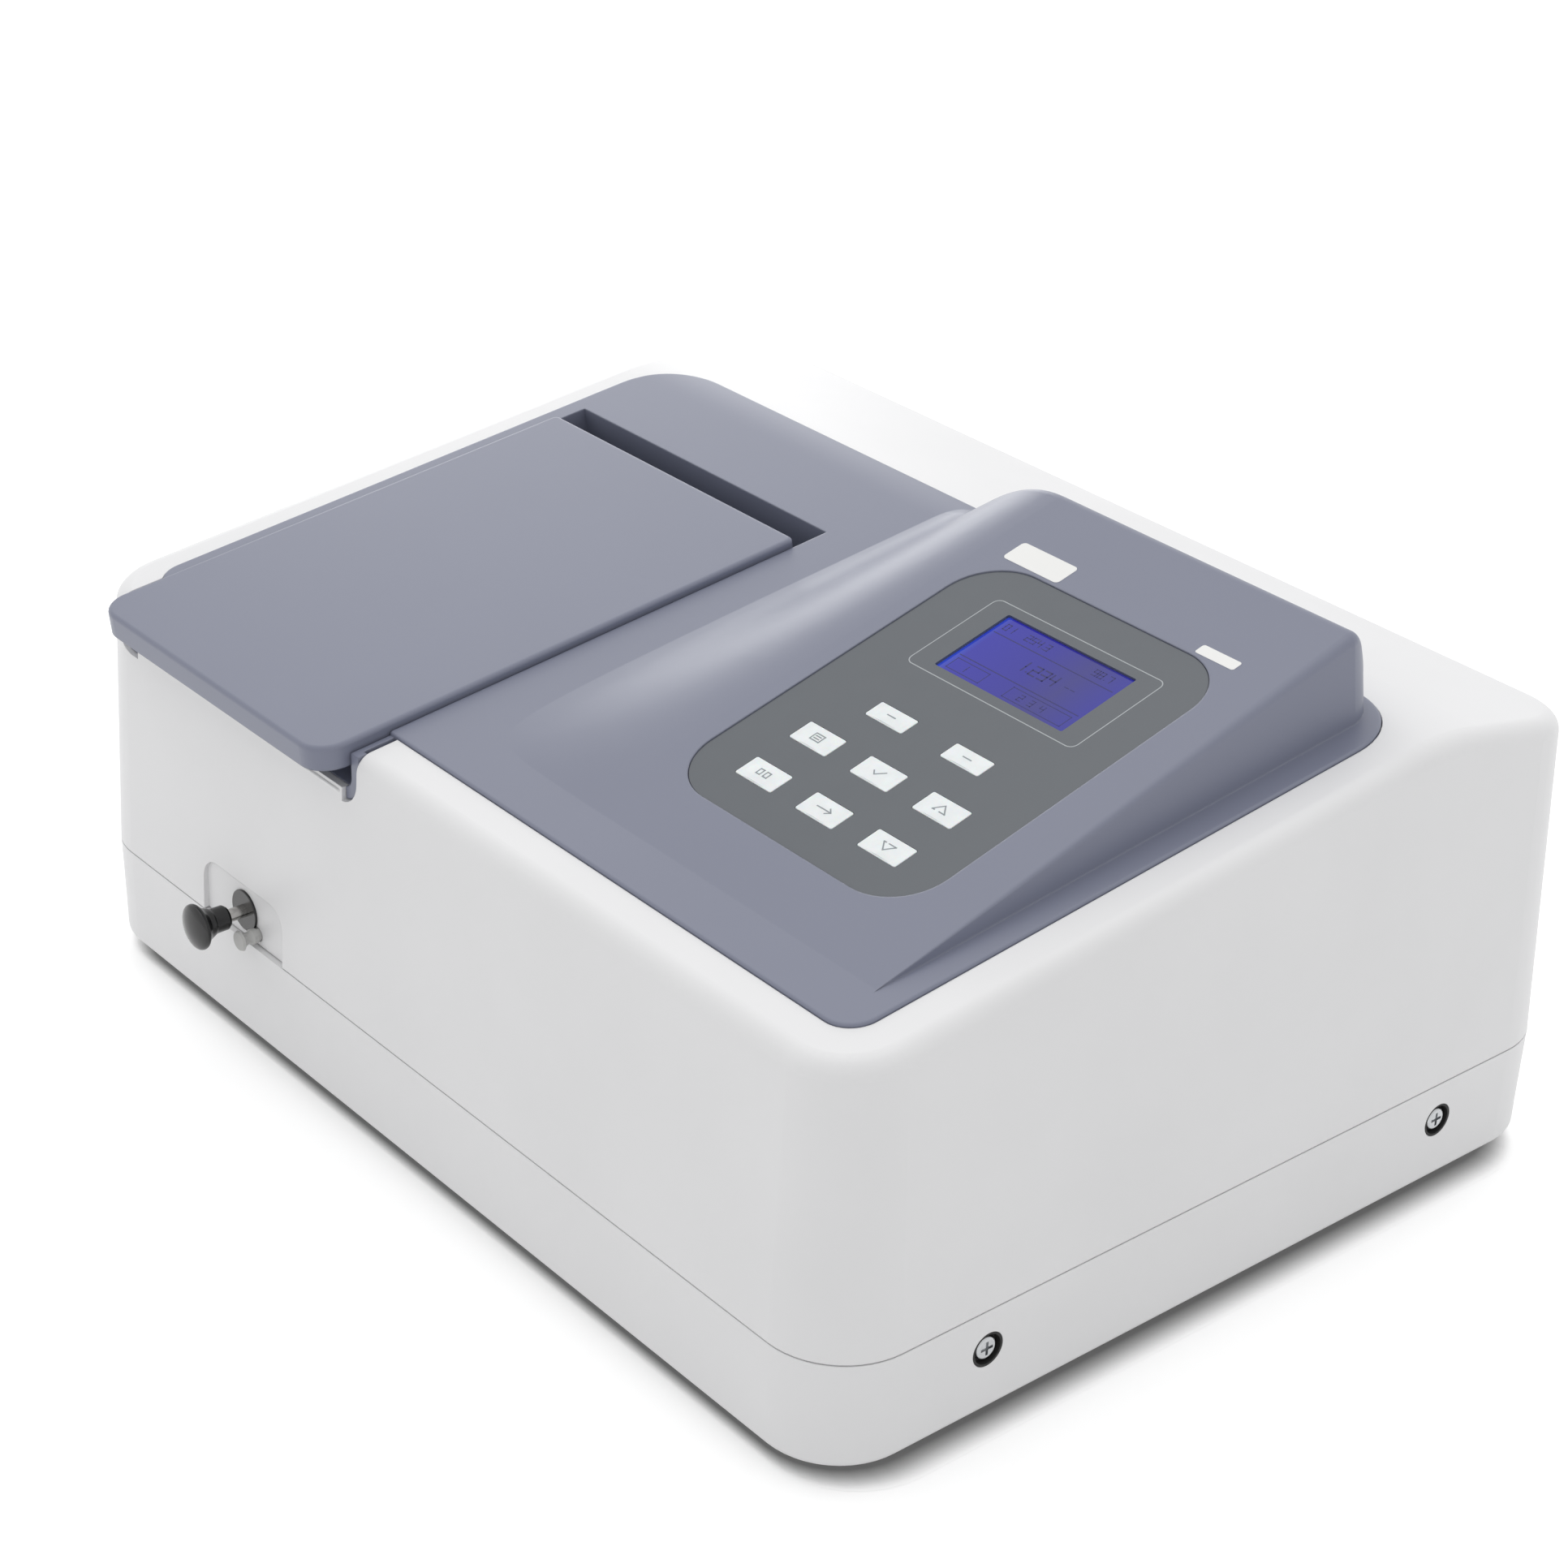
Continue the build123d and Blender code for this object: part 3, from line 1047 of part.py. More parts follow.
def mono_case():
    top = STAND_Z + MONO_H
    case = rounded_slab(MONO_X0, MONO_X1, MONO_Y0, MONO_Y1, STAND_Z, top, 6)
    case -= rounded_slab(MONO_X0 + MONO_WALL, MONO_X1 - MONO_WALL, MONO_Y0 + MONO_WALL,
                         MONO_Y1 - MONO_WALL, STAND_Z + MONO_WALL, top + 1, 3)
    for x in (MONO_X0 + 9, MONO_X1 - 9):
        for y in (MONO_Y0 + 9, MONO_Y1 - 9):
            case += rod_z(x, y, STAND_Z + 1, top, 5.5) - rod_z(x, y, top - 12, top + 1, 1.6)
    for y in (ENTRANCE_Y, BEAM_Y):
        case -= rod_x(MONO_X0 - 1, MONO_X0 + MONO_WALL + 1, y, BEAM_Z, 7)
    case -= rod_x(MONO_X0 - 1, MONO_X0 + MONO_WALL + 1, ENTRANCE_Y - FILTER_RING_R, BEAM_Z, 4 + SEAT)
    case += rod_z(GRATING_X, GRATING_Y, STAND_Z + 1, STAND_Z + 16, 9)
    return case - rod_z(GRATING_X, GRATING_Y, STAND_Z + MONO_WALL, STAND_Z + 17, SHAFT_R + 1.5 + RUN_FIT)


def mono_cover():
    z = STAND_Z + MONO_H + SEAT
    cover = rounded_slab(MONO_X0, MONO_X1, MONO_Y0, MONO_Y1, z, z + COVER_T, 6)
    cover = fillet(cover.faces().sort_by(Axis.Z)[-1].edges(), 1)
    for x in (MONO_X0 + 9, MONO_X1 - 9):
        for y in (MONO_Y0 + 9, MONO_Y1 - 9):
            cover -= rod_z(x, y, z - 1, z + COVER_T + 1, 1.9)
    return cover


def slit_plates():
    x = MONO_X0 + MONO_WALL + SEAT
    plates = ShapeList()
    for y in (ENTRANCE_Y, BEAM_Y):
        half = SLIT_PLATE / 2
        if y == ENTRANCE_Y:
            plate = slab(x, x + SLIT_PLATE_T, y - 6, y + half, BEAM_Z - half, BEAM_Z + half)
        else:
            plate = slab(x, x + SLIT_PLATE_T, y - half, y + half, BEAM_Z - half, BEAM_Z + half)
        plate -= slab(x - 1, x + 2, y - SLIT_W / 2, y + SLIT_W / 2, BEAM_Z - SLIT_H / 2,
                      BEAM_Z + SLIT_H / 2)
        plates.append(plate)
    return Compound(children=plates)


def collimator_mirrors():
    mirrors = ShapeList()
    foot_z = STAND_Z + MONO_WALL + SEAT
    for y, turn in ((ENTRANCE_Y - 4, 7), (BEAM_Y + 4, -7)):
        dish_face = Rot(0, -90, 0) * dish(MIRROR_R, MIRROR_T, MIRROR_HOLLOW_R)
        mirror = Pos(MIRROR_X, y, BEAM_Z) * Rot(0, 0, turn) * dish_face
        bracket = slab(MIRROR_X + 4, MIRROR_X + 8, y - 12, y + 12, foot_z, BEAM_Z - 4)
        bracket += slab(MIRROR_X - 8, MIRROR_X + 8, y - 12, y + 12, foot_z, foot_z + 4)
        mirrors.append(mirror + bracket)
    return Compound(children=mirrors)


def grating_table_z():
    return BEAM_Z - GRATING / 2 - 2 * SEAT


def grating_turntable():
    """Table, toothless belt pulley and spindle in one turned piece."""
    top = grating_table_z()
    table = rod_z(GRATING_X, GRATING_Y, top - TABLE_T, top, TABLE_R)
    low = STAND_Z + 16 + SEAT
    flange = 1.0
    table += rod_z(GRATING_X, GRATING_Y, low, low + PULLEY_T, BIG_PULLEY_R)
    table += rod_z(GRATING_X, GRATING_Y, low, low + flange, BIG_PULLEY_R + 2)
    table += rod_z(GRATING_X, GRATING_Y, low + PULLEY_T - flange, low + PULLEY_T, BIG_PULLEY_R + 2)
    table += rod_z(GRATING_X, GRATING_Y, STAND_Z + MONO_WALL + SEAT, top - 1, SHAFT_R + 1.5)
    table += slab(GRATING_X - 8.5, GRATING_X - 3.3, GRATING_Y - 16, GRATING_Y + 16, top - 1, top + 12)
    return table


def diffraction_grating():
    z = grating_table_z() + SEAT
    return slab(GRATING_X - 3, GRATING_X + 3, GRATING_Y - GRATING / 2, GRATING_Y + GRATING / 2,
                z, z + GRATING)


def belt_outline(grow):
    big = BIG_PULLEY_R + grow
    small = SMALL_PULLEY_R + grow
    span = MOTOR_X - GRATING_X
    lean = (big - small) / span
    up = (1 - lean ** 2) ** 0.5
    outline = Polyline((big * lean, big * up), (span + small * lean, small * up))
    outline += ThreePointArc((span + small * lean, small * up), (span + small, 0),
                             (span + small * lean, -small * up))
    outline += Polyline((span + small * lean, -small * up), (big * lean, -big * up))
    outline += ThreePointArc((big * lean, -big * up), (-big, 0), (big * lean, big * up))
    return make_face(outline)


def grating_belt():
    ring = belt_outline(SEAT + BELT_T) - belt_outline(SEAT)
    return extrude(Pos(GRATING_X, GRATING_Y, STAND_Z + 16 + SEAT + (PULLEY_T - BELT_W) / 2) * ring, BELT_W)


def motor_pulley():
    low = STAND_Z + 16 + SEAT
    pulley = rod_z(MOTOR_X, GRATING_Y, low, low + PULLEY_T, SMALL_PULLEY_R)
    for z in (low, low + PULLEY_T - 1):
        pulley += rod_z(MOTOR_X, GRATING_Y, z, z + 1, SMALL_PULLEY_R + 2)
    return pulley - rod_z(MOTOR_X, GRATING_Y, low - 1, low + PULLEY_T + 1, SHAFT_R + RUN_FIT)


def stepper_motor():
    """Motor standing upside down over the pulley on four pillars."""
    low = STAND_Z + 16 + SEAT + PULLEY_T + 2
    half = MOTOR_SIZE / 2
    body = slab(MOTOR_X - half, MOTOR_X + half, GRATING_Y - half, GRATING_Y + half, low, low + MOTOR_H)
    body = fillet(body.edges().filter_by(Axis.Z), 3)
    body += rod_z(MOTOR_X, GRATING_Y, low - PULLEY_T - 1, low, SHAFT_R)
    for side in (-1, 1):
        for end in (-1, 1):
            body += rod_z(MOTOR_X + side * (half - 4), GRATING_Y + end * (half - 4),
                          STAND_Z + MONO_WALL + SEAT, low, 2.5)
    return body


# Detector, electronics, supply and fan

def detector_house():
    half = DETECTOR_W / 2
    z0 = BEAM_Z - DETECTOR_H / 2
    box = slab(DETECTOR_X0, DETECTOR_X1, BEAM_Y - half, BEAM_Y + half, z0, z0 + DETECTOR_H)
    box = fillet(box.edges().filter_by(Axis.X), 3)
    box -= slab(DETECTOR_X0 - 1, DETECTOR_X1 - 3, BEAM_Y - half + 3, BEAM_Y + half - 3, z0 + 3,
                z0 + DETECTOR_H - 3)
    box -= rod_x(DETECTOR_X1 - 5, DETECTOR_X1 + 1, BEAM_Y, BEAM_Z, 7)
    box += slab(DETECTOR_X1 - 14, DETECTOR_X1 - 4, BEAM_Y - 10, BEAM_Y + 10, STAND_Z, z0 + 1)
    return box


def photodiode_board():
    x = DETECTOR_X0 + 8
    half = DETECTOR_W / 2 - 3 - SEAT
    board = slab(x, x + BOARD_T, BEAM_Y - half, BEAM_Y + half, BEAM_Z - half, BEAM_Z + half)
    board += rod_x(x, x + 6, BEAM_Y, BEAM_Z, 6)
    return board + rod_x(x + 5, x + 7, BEAM_Y, BEAM_Z, 4.5)


def main_board():
    z = STAND_Z + 6
    y0 = MONO_Y1 + 8
    board = slab(BOARD_X0, BOARD_X1, y0, DEPTH - 20, z, z + BOARD_T)
    for x in (BOARD_X0 + 5, BOARD_X1 - 5):
        for y in (y0 + 5, DEPTH - 25):
            board += rod_z(x, y, STAND_Z, z, 3)
    for dx, dy, w, l, h in ((30, 20, 18, 18, 2), (60, 18, 10, 16, 3), (34, 46, 24, 8, 9), (76, 42, 12, 12, 8)):
        x = BOARD_X0 + dx
        y = y0 + dy
        board += slab(x - w / 2, x + w / 2, y - l / 2, y + l / 2, z, z + BOARD_T + h)
    for dx, dy in ((12, 12), (12, 26), (80, 10)):
        board += rod_z(BOARD_X0 + dx, y0 + dy, z, z + BOARD_T + 14, 5)
    return board


def power_supply():
    case = slab(SUPPLY_X0, SUPPLY_X1, SUPPLY_Y0, SUPPLY_Y1, STAND_Z, STAND_Z + SUPPLY_H)
    case = fillet(case.edges().filter_by(Axis.Z), 1.5)
    case -= slab(SUPPLY_X0 + 1.5, SUPPLY_X1 - 1.5, SUPPLY_Y0 + 1.5, SUPPLY_Y1 - 1.5, STAND_Z + 1.5,
                 STAND_Z + SUPPLY_H - 1.5)
    for step in range(9):
        x = SUPPLY_X0 + 12 + step * 12
        case -= slab(x - 3, x + 3, SUPPLY_Y0 + 10, SUPPLY_Y1 - 10, STAND_Z + SUPPLY_H - 3,
                     STAND_Z + SUPPLY_H + 1)
    return case


def fan_y1():
    return DEPTH - FAN_GAP


def fan_frame():
    y1 = fan_y1()
    y0 = y1 - FAN_T
    half = FAN_SIZE / 2
    frame = slab(FAN_X - half, FAN_X + half, y0, y1, FAN_Z - half, FAN_Z + half)
    frame = fillet(frame.edges().filter_by(Axis.Y), 4)
    frame -= rod_y(FAN_X, y0 - 1, y1 + 1, FAN_Z, ROTOR_R + 1.5)
    for side in (-1, 1):
        for end in (-1, 1):
            frame -= rod_y(FAN_X + side * 25, y0 - 1, y1 + 1, FAN_Z + end * 25, 2.1)
    arm = slab(-ROTOR_R - 3, ROTOR_R + 3, y0, y0 + 3, -2, 2)
    for turn in (45, 135):
        frame += Pos(FAN_X, 0, FAN_Z) * Rot(0, turn, 0) * arm
    frame += rod_y(FAN_X, y0, y0 + 3, FAN_Z, ROTOR_HUB_R)
    frame += rod_y(FAN_X, y0, y0 + 14, FAN_Z, 1.5)
    return frame & casing_form(WALL + SEAT)


def fan_rotor():
    y0 = fan_y1() - FAN_T + 4
    hub = rod_y(FAN_X, y0, fan_y1() - 4, FAN_Z, ROTOR_HUB_R)
    hub -= rod_y(FAN_X, y0 - 1, y0 + 10.5, FAN_Z, 1.5 + RUN_FIT)
    blade = slab(ROTOR_HUB_R - 2, ROTOR_R - 0.5, -0.8, 0.8, -6, 6)
    blade = Rot(40, 0, 0) * blade
    mid_y = (y0 + fan_y1() - 4) / 2
    for step in range(7):
        hub += Pos(FAN_X, mid_y, FAN_Z) * Rot(0, 360 / 7 * step, 0) * blade
    return hub


def port_face():
    return DEPTH - PORT_SINK


def port_plate():
    """Sunken tray that carries the rear fittings."""
    face = port_face()
    outer = slab(PORT_X0 - PLATE_T, PORT_X1 + PLATE_T, face - PLATE_T, DEPTH, PORT_Z0 - PLATE_T,
                 PORT_Z1 + PLATE_T)
    tray = fillet(outer.edges().filter_by(Axis.Y), 4)
    room = slab(PORT_X0, PORT_X1, face, DEPTH + 1, PORT_Z0, PORT_Z1)
    tray -= fillet(room.edges().filter_by(Axis.Y), 2.5)
    tray &= casing_form(WALL + SEAT)
    half_w = INLET_W / 2 + SEAT
    half_h = INLET_H / 2 + SEAT
    tray -= slab(INLET_X - half_w, INLET_X + half_w, 0, DEPTH, PORT_Z - half_h, PORT_Z + half_h)
    half_w = SWITCH_W / 2 + SEAT
    half_h = SWITCH_H / 2 + SEAT
    tray -= slab(SWITCH_X - half_w, SWITCH_X + half_w, 0, DEPTH, PORT_Z - half_h, PORT_Z + half_h)
    tray -= slab(USB_X - 6.3, USB_X + 6.3, 0, DEPTH, PORT_Z - 6, PORT_Z + 6)
    return tray - slab(SERIAL_X - 9.3, SERIAL_X + 9.3, 0, DEPTH, PORT_Z - 5, PORT_Z + 5)


def power_inlet():
    face = port_face() + SEAT
    body = slab(INLET_X - INLET_W / 2, INLET_X + INLET_W / 2, face - INLET_DEPTH, face + 1,
                PORT_Z - INLET_H / 2, PORT_Z + INLET_H / 2)
    flange = slab(INLET_X - 17, INLET_X + 17, face, face + 2.5, PORT_Z - 13, PORT_Z + 13)
    body += fillet(flange.edges().filter_by(Axis.Y), 2)
    socket = make_face(Polyline((-12, -8), (12, -8), (12, 3), (7, 8), (-7, 8), (-12, 3), close=True))
    socket = Pos(INLET_X, face + 5, PORT_Z) * extrude(Plane.XZ * socket, 22)
    body -= socket
    for x, z in ((-7, -1), (7, -1), (0, 3)):
        body += slab(INLET_X + x - 1, INLET_X + x + 1, face - 18, face - 3, PORT_Z + z - 2, PORT_Z + z + 2)
    return body


def switch_frame():
    face = port_face() + SEAT
    frame = slab(SWITCH_X - SWITCH_W / 2, SWITCH_X + SWITCH_W / 2, face - 16, face + 1,
                 PORT_Z - SWITCH_H / 2, PORT_Z + SWITCH_H / 2)
    rim = slab(SWITCH_X - 9.5, SWITCH_X + 9.5, face, face + 2, PORT_Z - 13, PORT_Z + 13)
    frame += fillet(rim.edges().filter_by(Axis.Y), 1.5)
    frame -= slab(SWITCH_X - 5.7, SWITCH_X + 5.7, face - 12, face + 5, PORT_Z - 8.9, PORT_Z + 8.9)
    return frame + rod_x(SWITCH_X - 6.5, SWITCH_X + 6.5, face - 4, PORT_Z, 1.2)


def rocker_switch():
    """Rocker at rest with its lower half pressed in."""
    face = port_face() + SEAT
    half = 7.7
    side = make_face(Polyline((-half, -2), (-half, 2.6), (0, 1.0), (half, 2.6), (half, -2), (0, -5), close=True))
    bar = Pos(SWITCH_X - 5.3, 0, 0) * extrude(Plane.YZ * (Rot(0, 0, 90) * side), 10.6)
    bar = Pos(0, face - 4, PORT_Z) * (Pos(SWITCH_X, 0, 0) * Rot(-SWITCH_TILT, 0, 0) * Pos(-SWITCH_X, 0, 0) * bar)
    return bar - rod_x(SWITCH_X - 9, SWITCH_X + 9, face - 4, PORT_Z, 1.2 + RUN_FIT)


def data_ports():
    face = port_face() + SEAT
    usb = slab(USB_X - 6, USB_X + 6, face - 14, face, PORT_Z - 5.6, PORT_Z + 5.6)
    usb -= slab(USB_X - 4.6, USB_X + 4.6, face - 10, face + 1, PORT_Z - 4.2, PORT_Z + 4.2)
    usb += slab(USB_X - 2.8, USB_X + 2.8, face - 11, face - 1, PORT_Z - 1.6, PORT_Z + 1.6)
    serial = slab(SERIAL_X - 9, SERIAL_X + 9, face - 10, face + 1, PORT_Z - 4.6, PORT_Z + 4.6)
    rim = slab(SERIAL_X - 15, SERIAL_X + 15, face, face + 1, PORT_Z - 6.2, PORT_Z + 6.2)
    serial += fillet(rim.edges().filter_by(Axis.Y), 1.5)
    shell = slab(SERIAL_X - 8.5, SERIAL_X + 8.5, face, face + 5.5, PORT_Z - 4.2, PORT_Z + 4.2)
    shell = fillet(shell.edges().filter_by(Axis.Y), 2)
    shell -= offset(shell, amount=-0.5)
    serial += shell - slab(SERIAL_X - 20, SERIAL_X + 20, face + 5, face + 9, 0, 200)
    for side in (-1, 1):
        serial += rod_y(SERIAL_X + side * 12.5, face + 0.5, face + 5, PORT_Z, 2.4)
    return Compound(children=[usb, serial])


def place(piece):
    """Move a piece so that the origin is the middle of the footprint, on the bench top."""
    return Pos(-MID_X, -FOOTPRINT_MID_Y, 0) * piece


PIECES = {
    "upper_housing": upper_housing,
    "base_housing": base_housing,
    "rubber_feet": rubber_feet,
    "screw_cups": screw_cups,
    "side_screws": side_screws,
    "top_panel": top_panel,
    "keypad_overlay": keypad_overlay,
    "key_board": key_board,
    "display_window": display_window,
    "display_module": display_module,
    "compartment_lid": compartment_lid,
    "lid_seal": lid_seal,
    "hinge_brackets": hinge_brackets,
    "hinge_pins": hinge_pins,
    "pull_knob": pull_knob,
    "pull_rod": pull_rod,
    "rod_escutcheon": rod_escutcheon,
    "drain_spout": drain_spout,
    "drain_plug": drain_plug,
    "sample_tub": sample_tub,
    "guide_rails": guide_rails,
    "cell_carriage": cell_carriage,
    "cell_springs": cell_springs,
    "detent_spring": detent_spring,
    "optical_bench": optical_bench,
    "lamp_house": lamp_house,
    "halogen_lamp": halogen_lamp,
    "lamp_mount": lamp_mount,
    "filter_wheel": filter_wheel,
    "filter_motor": filter_motor,
    "lens_holder": lens_holder,
    "beam_lens": beam_lens,
    "mono_case": mono_case,
    "mono_cover": mono_cover,
    "slit_plates": slit_plates,
    "collimator_mirrors": collimator_mirrors,
    "grating_turntable": grating_turntable,
    "diffraction_grating": diffraction_grating,
    "grating_belt": grating_belt,
    "motor_pulley": motor_pulley,
    "stepper_motor": stepper_motor,
    "detector_house": detector_house,
    "photodiode_board": photodiode_board,
    "main_board": main_board,
    "power_supply": power_supply,
    "fan_frame": fan_frame,
    "fan_rotor": fan_rotor,
    "port_plate": port_plate,
    "power_inlet": power_inlet,
    "switch_frame": switch_frame,
    "rocker_switch": rocker_switch,
    "data_ports": data_ports,
}

os.makedirs("parts", exist_ok=True)
for node, make in PIECES.items():
    export_step(place(make()), f"parts/{node}.step")
for node, x, v, length in key_places():
    export_step(place(key(x, v, length)), f"parts/{node}.step")
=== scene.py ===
"""Finishes, visible details, studio and camera of the visible spectrophotometer.

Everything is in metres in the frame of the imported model: +X to the instrument's right, +Y to its
back, +Z up, with the origin in the middle of its footprint on the bench top.
"""

import logging
import math
from dataclasses import dataclass
from enum import Enum
from typing import Iterable, Sequence

import bmesh
import bpy
from mathutils import Matrix, Vector


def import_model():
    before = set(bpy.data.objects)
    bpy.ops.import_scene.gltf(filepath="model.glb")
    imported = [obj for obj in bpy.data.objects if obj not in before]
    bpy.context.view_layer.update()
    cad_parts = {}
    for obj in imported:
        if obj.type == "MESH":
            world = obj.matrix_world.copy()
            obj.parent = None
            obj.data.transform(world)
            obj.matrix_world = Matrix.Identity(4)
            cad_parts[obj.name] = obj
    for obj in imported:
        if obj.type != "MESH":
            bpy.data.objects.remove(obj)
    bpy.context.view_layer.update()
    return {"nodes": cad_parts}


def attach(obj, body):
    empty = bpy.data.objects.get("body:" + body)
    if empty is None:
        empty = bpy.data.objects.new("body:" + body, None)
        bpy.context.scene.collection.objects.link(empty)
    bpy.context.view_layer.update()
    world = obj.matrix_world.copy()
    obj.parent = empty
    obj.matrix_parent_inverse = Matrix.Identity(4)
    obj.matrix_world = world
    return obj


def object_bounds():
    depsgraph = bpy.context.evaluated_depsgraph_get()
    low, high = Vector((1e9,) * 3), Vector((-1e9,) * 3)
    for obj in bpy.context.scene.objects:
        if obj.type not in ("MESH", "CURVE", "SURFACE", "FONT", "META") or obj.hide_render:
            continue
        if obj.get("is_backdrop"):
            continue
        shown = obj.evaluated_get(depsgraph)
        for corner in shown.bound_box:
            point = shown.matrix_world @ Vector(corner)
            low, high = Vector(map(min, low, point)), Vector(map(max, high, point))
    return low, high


log = logging.getLogger("spectrophotometer")

MM = 0.001
Point2 = tuple[float, float]
Colour = tuple[float, float, float, float]


# Colour and node helpers

def linear(code: str, alpha: float = 1.0) -> Colour:
    """Turn an sRGB hex code into a linear colour.

    Args:
        code: Colour as "#RRGGBB".
        alpha: Opacity.

    Returns:
        Linear red, green, blue and alpha.
    """
    channels = []
    for start in (1, 3, 5):
        value = int(code[start:start + 2], 16) / 255
        channels.append(value / 12.92 if value <= 0.04045 else ((value + 0.055) / 1.055) ** 2.4)
    return (*channels, alpha)


def background_rays(tree: bpy.types.NodeTree) -> bpy.types.NodeSocket:
    """Add nodes that pick the rays which show the background.

    Args:
        tree: Node tree to add them to.

    Returns:
        A socket that is 1 for camera, glossy and transmission rays, and 0 for the rest.
    """
    path = tree.nodes.new("ShaderNodeLightPath")
    result = path.outputs["Is Camera Ray"]
    for kind in ("Is Glossy Ray", "Is Transmission Ray"):
        either = tree.nodes.new("ShaderNodeMath")
        either.operation = "MAXIMUM"
        tree.links.new(result, either.inputs[0])
        tree.links.new(path.outputs[kind], either.inputs[1])
        result = either.outputs["Value"]
    return result


class Graph:
    """Node tree of one material, with its Principled shader and object coordinates."""

    def __init__(self, name: str) -> None:
        """Start an empty material.

        Args:
            name: Name of the material.
        """
        self.material = bpy.data.materials.new(name)
        self.material.use_nodes = True
        self.tree = self.material.node_tree
        self.tree.nodes.clear()
        self.output = self.tree.nodes.new("ShaderNodeOutputMaterial")
        self.shader = self.tree.nodes.new("ShaderNodeBsdfPrincipled")
        self.tree.links.new(self.shader.outputs["BSDF"], self.output.inputs["Surface"])
        self.coords = self.tree.nodes.new("ShaderNodeTexCoord").outputs["Object"]

    def add(self, kind: str, inputs: dict | None = None, **settings) -> bpy.types.Node:
        """Add a node, set its properties and fill or link its inputs.

        Args:
            kind: Node type without the "ShaderNode" prefix.
            inputs: Input name or index mapped to a constant or to another node's socket.
            **settings: Node properties.

        Returns:
            The new node.
        """
        node = self.tree.nodes.new("ShaderNode" + kind)
        for key, value in settings.items():
            setattr(node, key, value)
        for key, value in (inputs or {}).items():
            self.feed(node.inputs[key], value)
        return node

    def feed(self, socket: bpy.types.NodeSocket, value) -> None:
        """Link a socket to another one, or set its constant.

        Args:
            socket: Input socket to fill.
            value: Output socket or constant.
        """
        if isinstance(value, bpy.types.NodeSocket):
            self.tree.links.new(value, socket)
        else:
            socket.default_value = value

    def set(self, **values) -> None:
        """Fill inputs of the Principled shader.

        Args:
            **values: Input name, with underscores for spaces, mapped to a constant or socket.
        """
        for key, value in values.items():
            self.feed(self.shader.inputs[key.replace("_", " ")], value)

    def noise(self, size: float, detail: float = 3.0, rough: float = 0.5) -> bpy.types.NodeSocket:
        """Noise whose features are about size across.

        Args:
            size: Feature size in metres.
            detail: Octaves.
            rough: Roughness of the finer octaves.

        Returns:
            The factor socket.
        """
        node = self.add("TexNoise", {"Vector": self.coords, "Scale": 1 / size, "Detail": detail,
                                     "Roughness": rough})
        return node.outputs["Fac"]

    def ramp(self, factor: bpy.types.NodeSocket,
             stops: Sequence[tuple[float, Colour]]) -> bpy.types.NodeSocket:
        """Map a factor through a colour ramp.

        Args:
            factor: Input factor.
            stops: Positions and colours.

        Returns:
            The colour socket.
        """
        node = self.add("ValToRGB", {"Fac": factor})
        elements = node.color_ramp.elements
        while len(elements) < len(stops):
            elements.new(0.5)
        for element, (position, colour) in zip(elements, stops):
            element.position = position
            element.color = colour
        return node.outputs["Color"]

    def multiply(self, first: bpy.types.NodeSocket, second: bpy.types.NodeSocket) -> bpy.types.NodeSocket:
        """Multiply two colours.

        Args:
            first: One colour.
            second: The other colour.

        Returns:
            Their product.
        """
        node = self.add("Mix", {0: 1.0, 6: first, 7: second}, data_type="RGBA", blend_type="MULTIPLY")
        return node.outputs[2]

    def spread(self, factor: bpy.types.NodeSocket, low: float, high: float) -> bpy.types.NodeSocket:
        """Map a 0 to 1 factor to the range low to high.

        Args:
            factor: Input factor.
            low: Value at 0.
            high: Value at 1.

        Returns:
            The mapped value.
        """
        return self.add("MapRange", {"Value": factor, "To Min": low, "To Max": high}).outputs["Result"]

    def seen(self) -> bpy.types.NodeSocket:
        """Return 1 for camera, glossy and transmission rays, and 0 for the rest."""
        return background_rays(self.tree)

    def bump(self, height: bpy.types.NodeSocket, depth: float, under=None) -> bpy.types.NodeSocket:
        """Bump the surface by a height map.

        Args:
            height: Height factor.
            depth: Depth of the relief in metres.
            under: Normal of a coarser bump to build on, if any.

        Returns:
            The normal socket.
        """
        inputs = {"Height": height, "Distance": depth, "Strength": 1.0}
        if under is not None:
            inputs["Normal"] = under
        return self.add("Bump", inputs).outputs["Normal"]


# Finishes

class Ior(Enum):
    """Refractive indices of the dielectrics in use."""

    ABS = 1.54
    POLYESTER = 1.57
    RUBBER = 1.52
    GLASS = 1.52
    QUARTZ = 1.46
    CERAMIC = 1.6
    PHENOLIC = 1.6
    LAMINATE = 1.55


@dataclass(frozen=True)
class MouldedPlastic:
    """Injection-moulded plastic with a fine spark-eroded texture."""

    name: str
    colour: str
    roughness: float
    grain: float = 0.45 * MM
    depth: float = 0.006 * MM
    tone: float = 0.02
    ior: Ior = Ior.ABS
    edge: float = 0.0

    def build(self) -> bpy.types.Material:
        """Make the material.

        Returns:
            The material.
        """
        graph = Graph(self.name)
        base = linear(self.colour)
        dark = tuple(c * (1 - self.tone) for c in base[:3]) + (1.0,)
        cloud = graph.noise(60 * MM, 2.0)
        grain = graph.noise(self.grain, 2.0)
        rough = graph.spread(grain, self.roughness - 0.04, self.roughness + 0.04)
        worn = None
        if self.edge:
            worn = graph.add("Bevel", {"Radius": self.edge}, samples=6).outputs["Normal"]
        graph.set(Base_Color=graph.ramp(cloud, ((0.35, dark), (0.65, base))), Roughness=rough,
                  IOR=self.ior.value, Normal=graph.bump(grain, self.depth, worn))
        return graph.material


